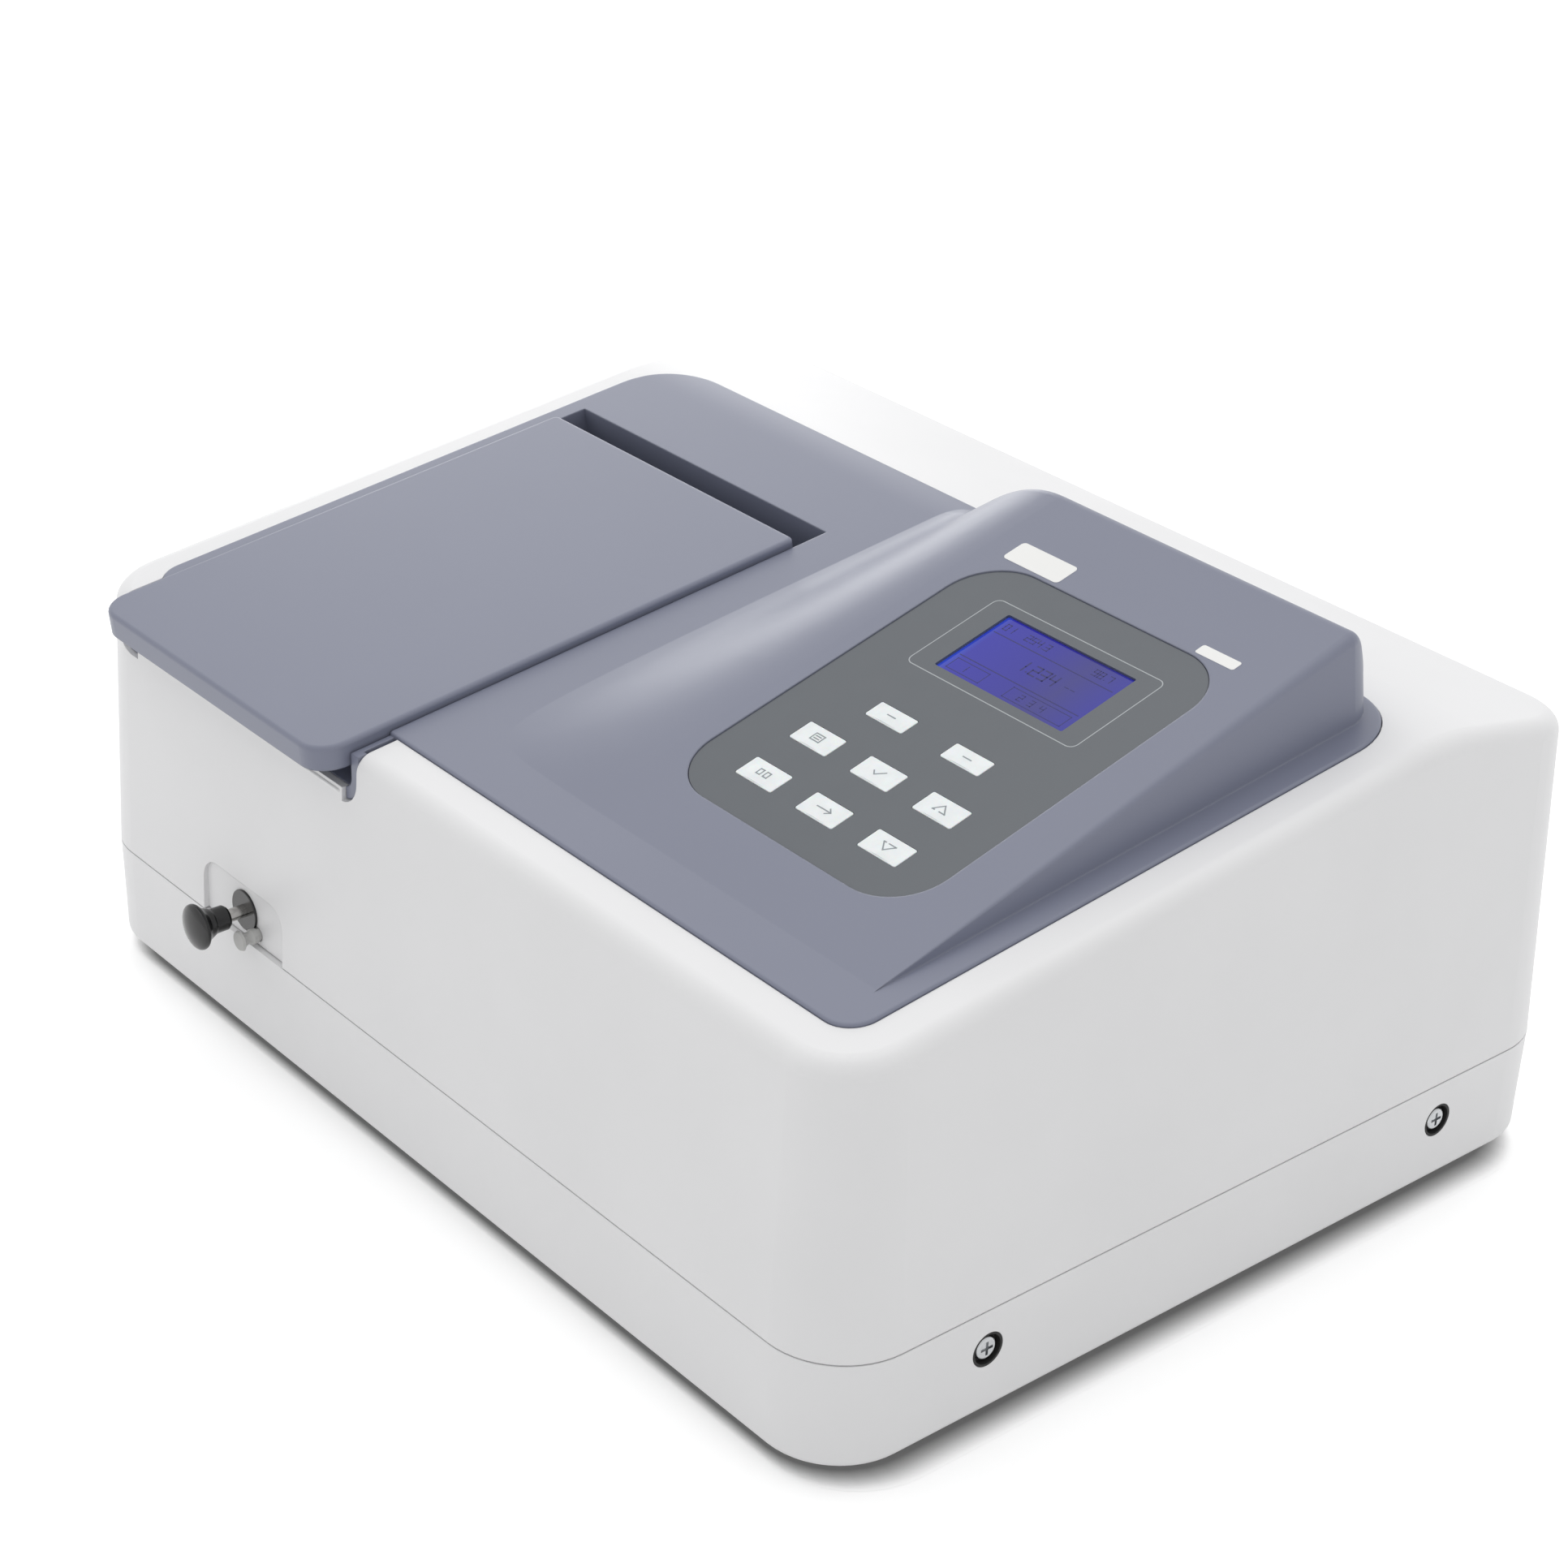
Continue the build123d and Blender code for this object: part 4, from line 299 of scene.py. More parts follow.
@dataclass(frozen=True)
class GlossyFilm:
    """Back-printed polyester film, slightly wavy where it lies over the switches."""

    name: str
    colour: str
    roughness: float = 0.2

    def build(self) -> bpy.types.Material:
        """Make the material.

        Returns:
            The material.
        """
        graph = Graph(self.name)
        base = linear(self.colour)
        dark = tuple(c * 0.97 for c in base[:3]) + (1.0,)
        swell = graph.bump(graph.noise(24 * MM, 1.0), 0.09 * MM)
        ripple = graph.bump(graph.noise(2.2 * MM, 3.0, 0.6), 0.004 * MM, swell)
        rough = graph.spread(graph.noise(9 * MM, 4.0), self.roughness - 0.05, self.roughness + 0.08)
        graph.set(Base_Color=graph.ramp(graph.noise(0.3 * MM), ((0.4, dark), (0.6, base))),
                  Roughness=rough, IOR=Ior.POLYESTER.value, Normal=ripple)
        return graph.material


@dataclass(frozen=True)
class KeyWindow:
    """Milky key window of the film, lit evenly from the sides."""

    name: str = "key_window"
    colour: str = "#EDF1F2"

    def build(self) -> bpy.types.Material:
        """Make the material.

        Returns:
            The material.
        """
        graph = Graph(self.name)
        base = linear(self.colour)
        dim = tuple(c * 0.95 for c in base[:3]) + (1.0,)
        graph.set(Base_Color=graph.ramp(graph.noise(6 * MM, 2.0), ((0.35, dim), (0.65, base))),
                  Roughness=graph.spread(graph.noise(3 * MM), 0.16, 0.3), IOR=Ior.POLYESTER.value,
                  Subsurface_Weight=0.15, Subsurface_Scale=1.5 * MM,
                  Normal=graph.bump(graph.noise(7 * MM, 1.0), 0.03 * MM))
        return graph.material


@dataclass(frozen=True)
class LiquidCrystal:
    """Backlit blue display glass, brighter along its left edge where the light comes in, with a painted
    reflection as a greyer band right of its middle.
    """

    name: str
    left: float
    right: float
    glow: float = 0.75

    def build(self) -> bpy.types.Material:
        """Make the material.

        Returns:
            The material.
        """
        graph = Graph(self.name)
        split = graph.add("SeparateXYZ", {"Vector": graph.coords})
        across = graph.add("MapRange", {"Value": split.outputs["X"], "From Min": self.left,
                                        "From Max": self.right}).outputs["Result"]
        wander = graph.spread(graph.noise(30 * MM, 1.0), -0.05, 0.05)
        place = graph.add("Math", {0: across, 1: wander}, operation="ADD").outputs["Value"]
        # The greyer stop at 0.7 is a painted reflection across the glass; the bright stop at the left edge is
        # the backlight.
        blue = graph.ramp(place, ((0.0, linear("#2A4CD8")), (0.06, linear("#2320B4")),
                                  (0.45, linear("#241FA6")), (0.7, linear("#33308F")),
                                  (1.0, linear("#2423A8"))))
        pixels = graph.add("TexBrick", {"Vector": graph.coords, "Scale": 1 / (0.49 * MM),
                                        "Mortar Size": 0.04, "Color1": (1, 1, 1, 1),
                                        "Color2": (1, 1, 1, 1), "Mortar": (0.9, 0.9, 0.9, 1)})
        colour = graph.multiply(blue, pixels.outputs["Color"])
        graph.set(Base_Color=(0.01, 0.01, 0.02, 1), Emission_Color=colour,
                  Emission_Strength=self.glow, Roughness=0.12, IOR=Ior.GLASS.value)
        return graph.material


@dataclass(frozen=True)
class WorkedMetal:
    """Bare metal with a drawn, turned, cast or plated surface."""

    name: str
    colour: str
    roughness: float
    grain: float = 0.25 * MM
    depth: float = 0.003 * MM
    stretch: tuple[float, float, float] = (1.0, 1.0, 1.0)

    def build(self) -> bpy.types.Material:
        """Make the material.

        Returns:
            The material.
        """
        graph = Graph(self.name)
        base = linear(self.colour)
        dark = tuple(c * 0.88 for c in base[:3]) + (1.0,)
        lines = graph.add("Mapping", {"Vector": graph.coords, "Scale": self.stretch})
        grain = graph.add("TexNoise", {"Vector": lines.outputs["Vector"], "Scale": 1 / self.grain,
                                       "Detail": 3.0}).outputs["Fac"]
        graph.set(Base_Color=graph.ramp(graph.noise(12 * MM), ((0.3, dark), (0.7, base))),
                  Metallic=1.0, Roughness=graph.spread(grain, self.roughness - 0.08, self.roughness + 0.08),
                  Normal=graph.bump(grain, self.depth))
        return graph.material


@dataclass(frozen=True)
class ClearGlass:
    """Clear glass or fused quartz with faint unevenness."""

    name: str
    ior: Ior = Ior.GLASS

    def build(self) -> bpy.types.Material:
        """Make the material.

        Returns:
            The material.
        """
        graph = Graph(self.name)
        graph.set(Base_Color=linear("#F4F8F8"), Roughness=graph.spread(graph.noise(5 * MM), 0.0, 0.04),
                  Transmission_Weight=1.0, IOR=self.ior.value,
                  Normal=graph.bump(graph.noise(8 * MM, 1.0), 0.002 * MM))
        return graph.material


@dataclass(frozen=True)
class PrintedBoard:
    """Solder-masked board with copper traces showing through."""

    name: str = "printed_board"

    def build(self) -> bpy.types.Material:
        """Make the material.

        Returns:
            The material.
        """
        graph = Graph(self.name)
        cells = graph.add("TexVoronoi", {"Vector": graph.coords, "Scale": 1 / (3 * MM)},
                          feature="DISTANCE_TO_EDGE", distance="EUCLIDEAN")
        colour = graph.ramp(cells.outputs["Distance"], ((0.05, linear("#2C7A4B")), (0.09, linear("#0F4A2A"))))
        graph.set(Base_Color=colour, Roughness=0.35, IOR=Ior.LAMINATE.value,
                  Normal=graph.bump(graph.noise(1 * MM), 0.01 * MM))
        return graph.material


class Palette:
    """All finishes, built once, and the CAD nodes that wear them."""

    # Moulded ABS: even and satin, with light caught along its softened edges
    WHITE = MouldedPlastic("white_abs", "#E9E9EA", 0.42, edge=0.5 * MM)
    PANEL = MouldedPlastic("blue_grey_abs", "#7B7F91", 0.36, tone=0.015, edge=1.0 * MM)
    # Polyester film over milky windows: glossier than the panel, and slightly wavy
    FILM = GlossyFilm("grey_film", "#595E64")
    KEYS = KeyWindow()
    # Vinyl and screen ink: smooth and flat in tone
    LABEL = MouldedPlastic("label_vinyl", "#F0F0EE", 0.25, depth=0.001 * MM)
    PRINT = MouldedPlastic("grey_print", "#8C9296", 0.35, depth=0.001 * MM)
    LINE = MouldedPlastic("pale_print", "#A9AEB1", 0.35, depth=0.001 * MM)
    # Pressed phenolic and dark mouldings: black, from glossy highlights down to dull rubber and foam
    BLACK = MouldedPlastic("black_phenolic", "#0B0B0D", 0.22, 1.5 * MM, 0.003 * MM, 0.1, Ior.PHENOLIC)
    DARK = MouldedPlastic("black_abs", "#1B1C1E", 0.4)
    PALE = MouldedPlastic("pale_grey_nylon", "#B5B5B3", 0.38)
    RUBBER = MouldedPlastic("black_rubber", "#151515", 0.7, 0.6 * MM, 0.02 * MM, 0.15, Ior.RUBBER)
    FOAM = MouldedPlastic("black_foam", "#1A1A1A", 0.9, 0.8 * MM, 0.15 * MM, 0.3, Ior.RUBBER)
    # Fired steatite: chalky and cream
    CERAMIC = MouldedPlastic("steatite", "#D8D2C4", 0.55, ior=Ior.CERAMIC)
    # Ground, plated, cast and anodised metal: highlights drawn out by the tool, or broken up by the skin
    STEEL = WorkedMetal("ground_steel", "#C9C7C4", 0.24, stretch=(1.0, 0.05, 1.0))
    SCREW = WorkedMetal("zinc_screw", "#C4C6C8", 0.3)
    SHEET = WorkedMetal("plated_sheet", "#BFC3C7", 0.38, 0.8 * MM)
    CAST = WorkedMetal("cast_aluminium", "#B9BBBE", 0.52, 0.7 * MM, 0.02 * MM)
    ANODISED = WorkedMetal("black_anodised", "#2A2B2D", 0.42)
    MIRROR = WorkedMetal("silvered_glass", "#F2F3F4", 0.09, depth=0.0002 * MM)
    # Polished glass and fused quartz: clear, seen by their reflections
    GLASS = ClearGlass("clear_glass")
    QUARTZ = ClearGlass("quartz", Ior.QUARTZ)
    # Glass-fibre laminate under green lacquer: the traces show a little lighter
    BOARD = PrintedBoard()

    NODES = {
        "WHITE": ("upper_housing", "base_housing"),
        "PANEL": ("top_panel", "compartment_lid"),
        "FILM": ("keypad_overlay",),
        "KEYS": ("key_front_left", "key_front_centre", "key_front_right", "key_middle_left",
                 "key_middle_centre", "key_middle_right", "soft_key_left", "soft_key_right"),
        "BLACK": ("pull_knob", "rod_escutcheon"),
        "DARK": ("sample_tub", "fan_frame", "fan_rotor", "power_inlet", "switch_frame", "rocker_switch"),
        "PALE": ("drain_spout", "drain_plug"),
        "RUBBER": ("rubber_feet", "screw_cups", "grating_belt"),
        "FOAM": ("lid_seal",),
        "CERAMIC": ("lamp_mount",),
        "STEEL": ("pull_rod", "guide_rails", "hinge_pins", "cell_springs", "detent_spring", "slit_plates"),
        "SCREW": ("side_screws",),
        "SHEET": ("hinge_brackets", "lamp_house", "filter_motor", "stepper_motor", "power_supply",
                  "port_plate", "data_ports"),
        "CAST": ("optical_bench", "mono_case", "mono_cover", "motor_pulley"),
        "ANODISED": ("cell_carriage", "filter_wheel", "lens_holder", "grating_turntable", "detector_house"),
        "MIRROR": ("collimator_mirrors", "diffraction_grating"),
        "GLASS": ("beam_lens",),
        "QUARTZ": ("halogen_lamp",),
        "BOARD": ("key_board", "display_module", "photodiode_board", "main_board"),
    }

    def __init__(self) -> None:
        """Start with nothing built."""
        self.built: dict[str, bpy.types.Material] = {}

    def get(self, key: str) -> bpy.types.Material:
        """Return a finish, building it at its first use.

        Args:
            key: Name of a finish of this class, such as "WHITE".

        Returns:
            The material.
        """
        if key not in self.built:
            self.built[key] = getattr(self, key).build()
        return self.built[key]

    def dress(self, nodes: dict[str, bpy.types.Object]) -> None:
        """Give every CAD node its finish.

        Args:
            nodes: CAD objects by node name.
        """
        for key, names in self.NODES.items():
            for name in names:
                paint(nodes[name], self.get(key))
        log.info("dressed %d CAD nodes", sum(len(names) for names in self.NODES.values()))


def paint(piece: bpy.types.Object, material: bpy.types.Material) -> None:
    """Replace a piece's materials by one.

    Args:
        piece: Mesh object.
        material: Finish to wear.
    """
    piece.data.materials.clear()
    piece.data.materials.append(material)


# Shapes drawn on a sloping face

@dataclass(frozen=True)
class SlopedFace:
    """A face that slopes up to the back: u runs right, v up the slope, w out of the face."""

    height: float
    slope: float
    centre_x: float = 0.225
    centre_y: float = 0.165

    def matrix(self) -> Matrix:
        """Return the face's own frame in the row frame.

        Returns:
            The 4 x 4 matrix.
        """
        turn = Matrix.Rotation(math.radians(self.slope), 4, "X")
        return Matrix.Translation((-self.centre_x, -self.centre_y, self.height)) @ turn


class FlatShapes:
    """Collects thin flat shapes on a sloping face and turns them into one mesh."""

    def __init__(self, face: SlopedFace, level: float, thickness: float,
                 dome: tuple[float, float, float] | None = None) -> None:
        """Start an empty sheet of shapes.

        Args:
            face: Face that the shapes lie on.
            level: Height of their undersides above the face, or above the top of the dome.
            thickness: Their thickness.
            dome: Middle u, middle v and ball radius of a domed key that they lie on, if any.
        """
        self.face = face
        self.level = level
        self.thickness = thickness
        self.dome = dome
        self.mesh = bmesh.new()

    def outline(self, points: Iterable[Point2]) -> None:
        """Add a closed shape.

        Args:
            points: Corners in face coordinates, counter-clockwise.
        """
        points = list(points)
        low = [self.mesh.verts.new((u, v, self.level)) for u, v in points]
        high = [self.mesh.verts.new((u, v, self.level + self.thickness)) for u, v in points]
        self.mesh.faces.new(high)
        self.mesh.faces.new(list(reversed(low)))
        count = len(points)
        for i in range(count):
            j = (i + 1) % count
            self.mesh.faces.new((low[i], low[j], high[j], high[i]))

    def stroke(self, points: Sequence[Point2], width: float) -> None:
        """Add an open line of straight strokes.

        Args:
            points: Corners of the line.
            width: Its width.
        """
        for (u0, v0), (u1, v1) in zip(points, points[1:]):
            length = math.hypot(u1 - u0, v1 - v0)
            du, dv = (u1 - u0) / length * width / 2, (v1 - v0) / length * width / 2
            steps = max(1, math.ceil(length / MM)) if self.dome else 1
            right = [(u0 - du + dv + (u1 - u0 + 2 * du) * k / steps,
                      v0 - dv - du + (v1 - v0 + 2 * dv) * k / steps) for k in range(steps + 1)]
            left = [(u - 2 * dv, v + 2 * du) for u, v in reversed(right)]
            self.outline(right + left)

    def ring(self, outer: Sequence[Point2], inner: Sequence[Point2]) -> None:
        """Add a flat ring between two outlines with as many points.

        Args:
            outer: Outer outline.
            inner: Inner outline.
        """
        top = self.level + self.thickness
        count = len(outer)
        rows = [[self.mesh.verts.new((u, v, w)) for u, v in line]
                for line, w in ((outer, self.level), (outer, top), (inner, top), (inner, self.level))]
        for i in range(count):
            j = (i + 1) % count
            for a, b in ((0, 1), (1, 2), (2, 3), (3, 0)):
                self.mesh.faces.new((rows[a][i], rows[a][j], rows[b][j], rows[b][i]))

    def finish(self, name: str, material: bpy.types.Material, body: str) -> bpy.types.Object:
        """Make the collected shapes one object that rides on a body.

        Args:
            name: Name of the object.
            material: Its finish.
            body: Body that it moves with.

        Returns:
            The object.
        """
        if self.dome:
            mid_u, mid_v, ball = self.dome
            for vert in self.mesh.verts:
                vert.co.z -= ((vert.co.x - mid_u) ** 2 + (vert.co.y - mid_v) ** 2) / (2 * ball)
            bmesh.ops.triangulate(self.mesh, faces=self.mesh.faces)
        bmesh.ops.recalc_face_normals(self.mesh, faces=self.mesh.faces)
        self.mesh.transform(self.face.matrix())
        data = bpy.data.meshes.new(name)
        self.mesh.to_mesh(data)
        self.mesh.free()
        piece = bpy.data.objects.new(name, data)
        bpy.context.scene.collection.objects.link(piece)
        paint(piece, material)
        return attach(piece, body)


def rounded(cu: float, cv: float, width: float, height: float, radius: float, steps: int = 8) -> list[Point2]:
    """Outline of a rectangle with rounded corners, counter-clockwise.

    Args:
        cu: Centre, first coordinate.
        cv: Centre, second coordinate.
        width: Width.
        height: Height.
        radius: Corner radius.
        steps: Segments per corner.

    Returns:
        The outline's points.
    """
    points = []
    for turn, (su, sv) in enumerate(((1, 1), (-1, 1), (-1, -1), (1, -1))):
        for step in range(steps + 1):
            angle = math.pi / 2 * (turn + step / steps)
            points.append((cu + su * (width / 2 - radius) + radius * math.cos(angle),
                           cv + sv * (height / 2 - radius) + radius * math.sin(angle)))
    return points


# Control pod

@dataclass(frozen=True)
class KeySpot:
    """Place of a key on the pod's face."""

    node: str
    u: float
    v: float


@dataclass
class Keypad:
    """Printed film with its frame line and the symbols on the keys."""

    face: SlopedFace
    palette: Palette
    centre_u: float = 335.3 * MM
    film_level: float = -0.4 * MM
    key_top: float = 0.11 * MM
    key_ball: float = 74.2 * MM
    line_width: float = 0.42 * MM
    frame_size: Point2 = (82.8 * MM, 44.8 * MM)
    frame_v: float = 186.3 * MM
    frame_radius: float = 3.2 * MM

    def spots(self) -> list[KeySpot]:
        """List the keys with their places.

        Returns:
            One spot per key.
        """
        spots = []
        for v, row in ((91.6, "front"), (115.7, "middle")):
            for du, side in ((-31.2, "left"), (0.0, "centre"), (31.2, "right")):
                spots.append(KeySpot(f"key_{row}_{side}", self.centre_u + (0.9 + du) * MM, v * MM))
        for du, side in ((-18.9, "left"), (18.9, "right")):
            spots.append(KeySpot(f"soft_key_{side}", self.centre_u + (0.3 + du) * MM, 139.0 * MM))
        return spots

    def symbol(self, node: str) -> list[list[Point2]]:
        """Return a key's symbol as open lines about the key's centre, in millimetres.

        Args:
            node: Name of the key's node.

        Returns:
            The lines.
        """
        symbols = {
            "key_front_left": [[(-2.6, 1.3), (-2.6, -1.3), (-0.8, -1.3), (-0.8, 1.3), (-2.6, 1.3)],
                               [(0.8, 1.3), (2.6, 1.3), (2.6, -1.3), (0.8, -1.3), (0.8, 1.3)]],
            "key_front_centre": [[(-3.4, 0.0), (3.2, 0.0)], [(1.7, 1.4), (3.3, 0.0), (1.7, -1.4)]],
            "key_front_right": [[(-0.4, 1.5), (2.9, 1.5), (0.0, -1.9), (-2.9, 1.5), (-1.9, 1.5)]],
            "key_middle_left": [[(-2.2, 1.7), (2.2, 1.7), (2.2, -1.7), (-2.2, -1.7), (-2.2, 1.7)],
                                [(-1.2, 0.6), (1.2, 0.6)], [(-1.2, -0.6), (1.2, -0.6)]],
            "key_middle_centre": [[(-2.2, 0.1), (-0.7, -1.4), (2.4, 1.5)]],
            "key_middle_right": [[(0.4, -1.5), (2.9, -1.5), (0.0, 1.9), (-2.9, -1.5), (-1.9, -1.5)]],
            "soft_key_left": [[(-1.9, 0.0), (1.9, 0.0)]],
            "soft_key_right": [[(-1.9, 0.0), (1.9, 0.0)]],
        }
        return symbols[node]

    def build(self) -> None:
        """Add the frame line and the symbols."""
        width, height = self.frame_size
        line = FlatShapes(self.face, self.film_level, 0.03 * MM)
        gap = 2 * self.line_width
        line.ring(rounded(self.centre_u + 1.8 * MM, self.frame_v, width, height, self.frame_radius),
                  rounded(self.centre_u + 1.8 * MM, self.frame_v, width - gap, height - gap,
                          self.frame_radius - self.line_width))
        line.finish("display_frame_line", self.palette.get("LINE"), "chassis")
        for spot in self.spots():
            shapes = FlatShapes(self.face, self.key_top, 0.03 * MM, (spot.u, spot.v, self.key_ball))
            for points in self.symbol(spot.node):
                shapes.stroke([(spot.u + u * MM, spot.v + v * MM) for u, v in points], 0.5 * MM)
            shapes.finish(spot.node + "_symbol", self.palette.get("PRINT"), spot.node + "_cap")
        log.info("keypad: frame line and %d key symbols", len(self.spots()))


@dataclass
class Display:
    """Blue display with faint dark readings."""

    face: SlopedFace
    palette: Palette
    node: bpy.types.Object
    centre_u: float = 337.3 * MM
    centre_v: float = 186.3 * MM
    width: float = 62.6 * MM
    height: float = 35.2 * MM
    level: float = -1.4 * MM

    SEGMENTS = {"0": "abcdef", "1": "bc", "2": "abged", "3": "abgcd", "4": "fgbc", "5": "afgcd",
                "6": "afgedc", "7": "abc", "8": "abcdefg", "9": "abcdfg", "-": "g"}

    def digits(self, shapes: FlatShapes, text: str, u: float, v: float, size: float) -> None:
        """Add a row of seven-segment digits.

        Args:
            shapes: Sheet to add to.
            text: Digits, dashes, full stops and spaces.
            u: Left end, in face coordinates.
            v: Foot of the digits.
            size: Height of the digits.
        """
        wide = size * 0.55
        stroke = size * 0.13
        lines = {"a": ((0, 1), (1, 1)), "b": ((1, 1), (1, 0.5)), "c": ((1, 0.5), (1, 0)),
                 "d": ((0, 0), (1, 0)), "e": ((0, 0.5), (0, 0)), "f": ((0, 1), (0, 0.5)),
                 "g": ((0, 0.5), (1, 0.5))}
        for letter in text:
            if letter == ".":
                shapes.outline(rounded(u + stroke, v + stroke / 2, stroke, stroke, stroke / 5, 2))
                u += stroke * 3
                continue
            for segment in self.SEGMENTS.get(letter, ""):
                (u0, v0), (u1, v1) = lines[segment]
                shapes.stroke([(u + u0 * wide, v + v0 * size), (u + u1 * wide, v + v1 * size)], stroke)
            u += wide + size * 0.3

    def build(self) -> None:
        """Paint the display and add its readings."""
        half = self.width / 2
        left = self.centre_u - half - self.face.centre_x
        screen = LiquidCrystal("blue_display", left, left + self.width)
        paint(self.node, screen.build())
        ink = MouldedPlastic("display_ink", "#1B1668", 0.12, depth=0.0005 * MM).build()
        shapes = FlatShapes(self.face, self.level, 0.02 * MM)
        u = self.centre_u - half + 3 * MM
        v = self.centre_v
        self.digits(shapes, "01  254.3", u, v + 11.4 * MM, 3.2 * MM)
        self.digits(shapes, "98.7", u + 44 * MM, v + 11.4 * MM, 3.2 * MM)
        self.digits(shapes, "1.234", u + 20 * MM, v - 1.4 * MM, 5.0 * MM)
        self.digits(shapes, "--", u + 42 * MM, v - 0.6 * MM, 3.2 * MM)
        shapes.stroke([(u - 1 * MM, v + 8.6 * MM), (u + 57 * MM, v + 8.6 * MM)], 0.45 * MM)
        shapes.stroke([(u - 1 * MM, v - 7.6 * MM), (u + 57 * MM, v - 7.6 * MM)], 0.45 * MM)
        for start, end, text in ((0.0, 16.0, "1"), (28.0, 56.0, "2 3 4")):
            corners = [(start, -15.4), (start, -9.4), (end, -9.4), (end, -15.4), (start, -15.4)]
            shapes.stroke([(u + a * MM, v + b * MM) for a, b in corners], 0.35 * MM)
            self.digits(shapes, text, u + (start + 5.5) * MM, v - 13.9 * MM, 3.0 * MM)
        shapes.finish("display_readings", ink, "chassis")
        log.info("display: screen and readings")


@dataclass
class BareLabels:
    """Two blank vinyl labels behind the keypad."""

    face: SlopedFace
    palette: Palette
    thickness: float = 0.12 * MM

    def build(self) -> None:
        """Add the labels."""
        for name, u, v, width, height, radius in (("label_left", 292.6, 232.1, 28.0, 11.1, 1.8),
                                                  ("label_right", 382.7, 228.9, 17.8, 4.9, 1.0)):
            shapes = FlatShapes(self.face, 0.0, self.thickness)
            shapes.outline(rounded(u * MM, v * MM, width * MM, height * MM, radius * MM))
            shapes.finish(name, self.palette.get("LABEL"), "chassis")
        log.info("labels: two blank ones")


# Casing

@dataclass
class RimBead:
    """Rounded rim of the casing's tongue, seen just under the lid's front lip."""

    palette: Palette
    casing: bpy.types.Object
    lid: bpy.types.Object
    radius: float = 0.7 * MM
    below_lip: float = 10.0 * MM
    inset: float = 4.5 * MM
    steps: int = 24
    sides: int = 10
    blunt: float = 0.02

    def radius_at(self, reach: float) -> float:
        """Round the bead's ends off.

        Args:
            reach: Distance from the nearer end.

        Returns:
            The bead's radius there.
        """
        if reach >= self.radius:
            return self.radius
        return self.radius * math.sqrt(max(self.blunt, 1 - (1 - reach / self.radius) ** 2))

    def wall_at(self, x: float, z: float) -> Vector:
        """Find the casing's front wall.

        Args:
            x: Place along the wall.
            z: Height.

        Returns:
            The point on the wall.
        """
        hit, spot, _, _ = self.casing.ray_cast((x, -1.0, z), (0.0, 1.0, 0.0))
        if not hit:
            raise RuntimeError(f"no front wall at x {x:.4f}, z {z:.4f}")
        return spot

    def build(self) -> None:
        """Add the bead as a tube with round ends, half sunk in the wall."""
        spots = [vert.co for vert in self.lid.data.vertices]
        front = min(spot.y for spot in spots)
        lip = min(spot.z for spot in spots if spot.y < front + 1.0 * MM)
        left = min(spot.x for spot in spots) + self.inset
        right = max(spot.x for spot in spots) - self.inset
        mesh = bmesh.new()
        rings = []
        for step in range(self.steps + 1):
            x = left + (right - left) * (1 - math.cos(math.pi * step / self.steps)) / 2
            wide = self.radius_at(min(x - left, right - x))
            middle = self.wall_at(x, lip - self.below_lip)
            rings.append([mesh.verts.new(middle + Vector((0, wide * math.cos(turn), wide * math.sin(turn))))
                          for turn in (2 * math.pi * k / self.sides for k in range(self.sides))])
        for low, high in zip(rings, rings[1:]):
            for k in range(self.sides):
                mesh.faces.new((low[k], low[k - 1], high[k - 1], high[k]))
        mesh.faces.new(rings[0])
        mesh.faces.new(list(reversed(rings[-1])))
        bmesh.ops.recalc_face_normals(mesh, faces=mesh.faces)
        data = bpy.data.meshes.new("tongue_rim")
        mesh.to_mesh(data)
        mesh.free()
        piece = bpy.data.objects.new("tongue_rim", data)
        bpy.context.scene.collection.objects.link(piece)
        paint(piece, self.palette.get("WHITE"))
        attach(piece, "chassis")
        log.info("casing: rim bead %.0f mm long", (right - left) / MM)


# Studio and camera

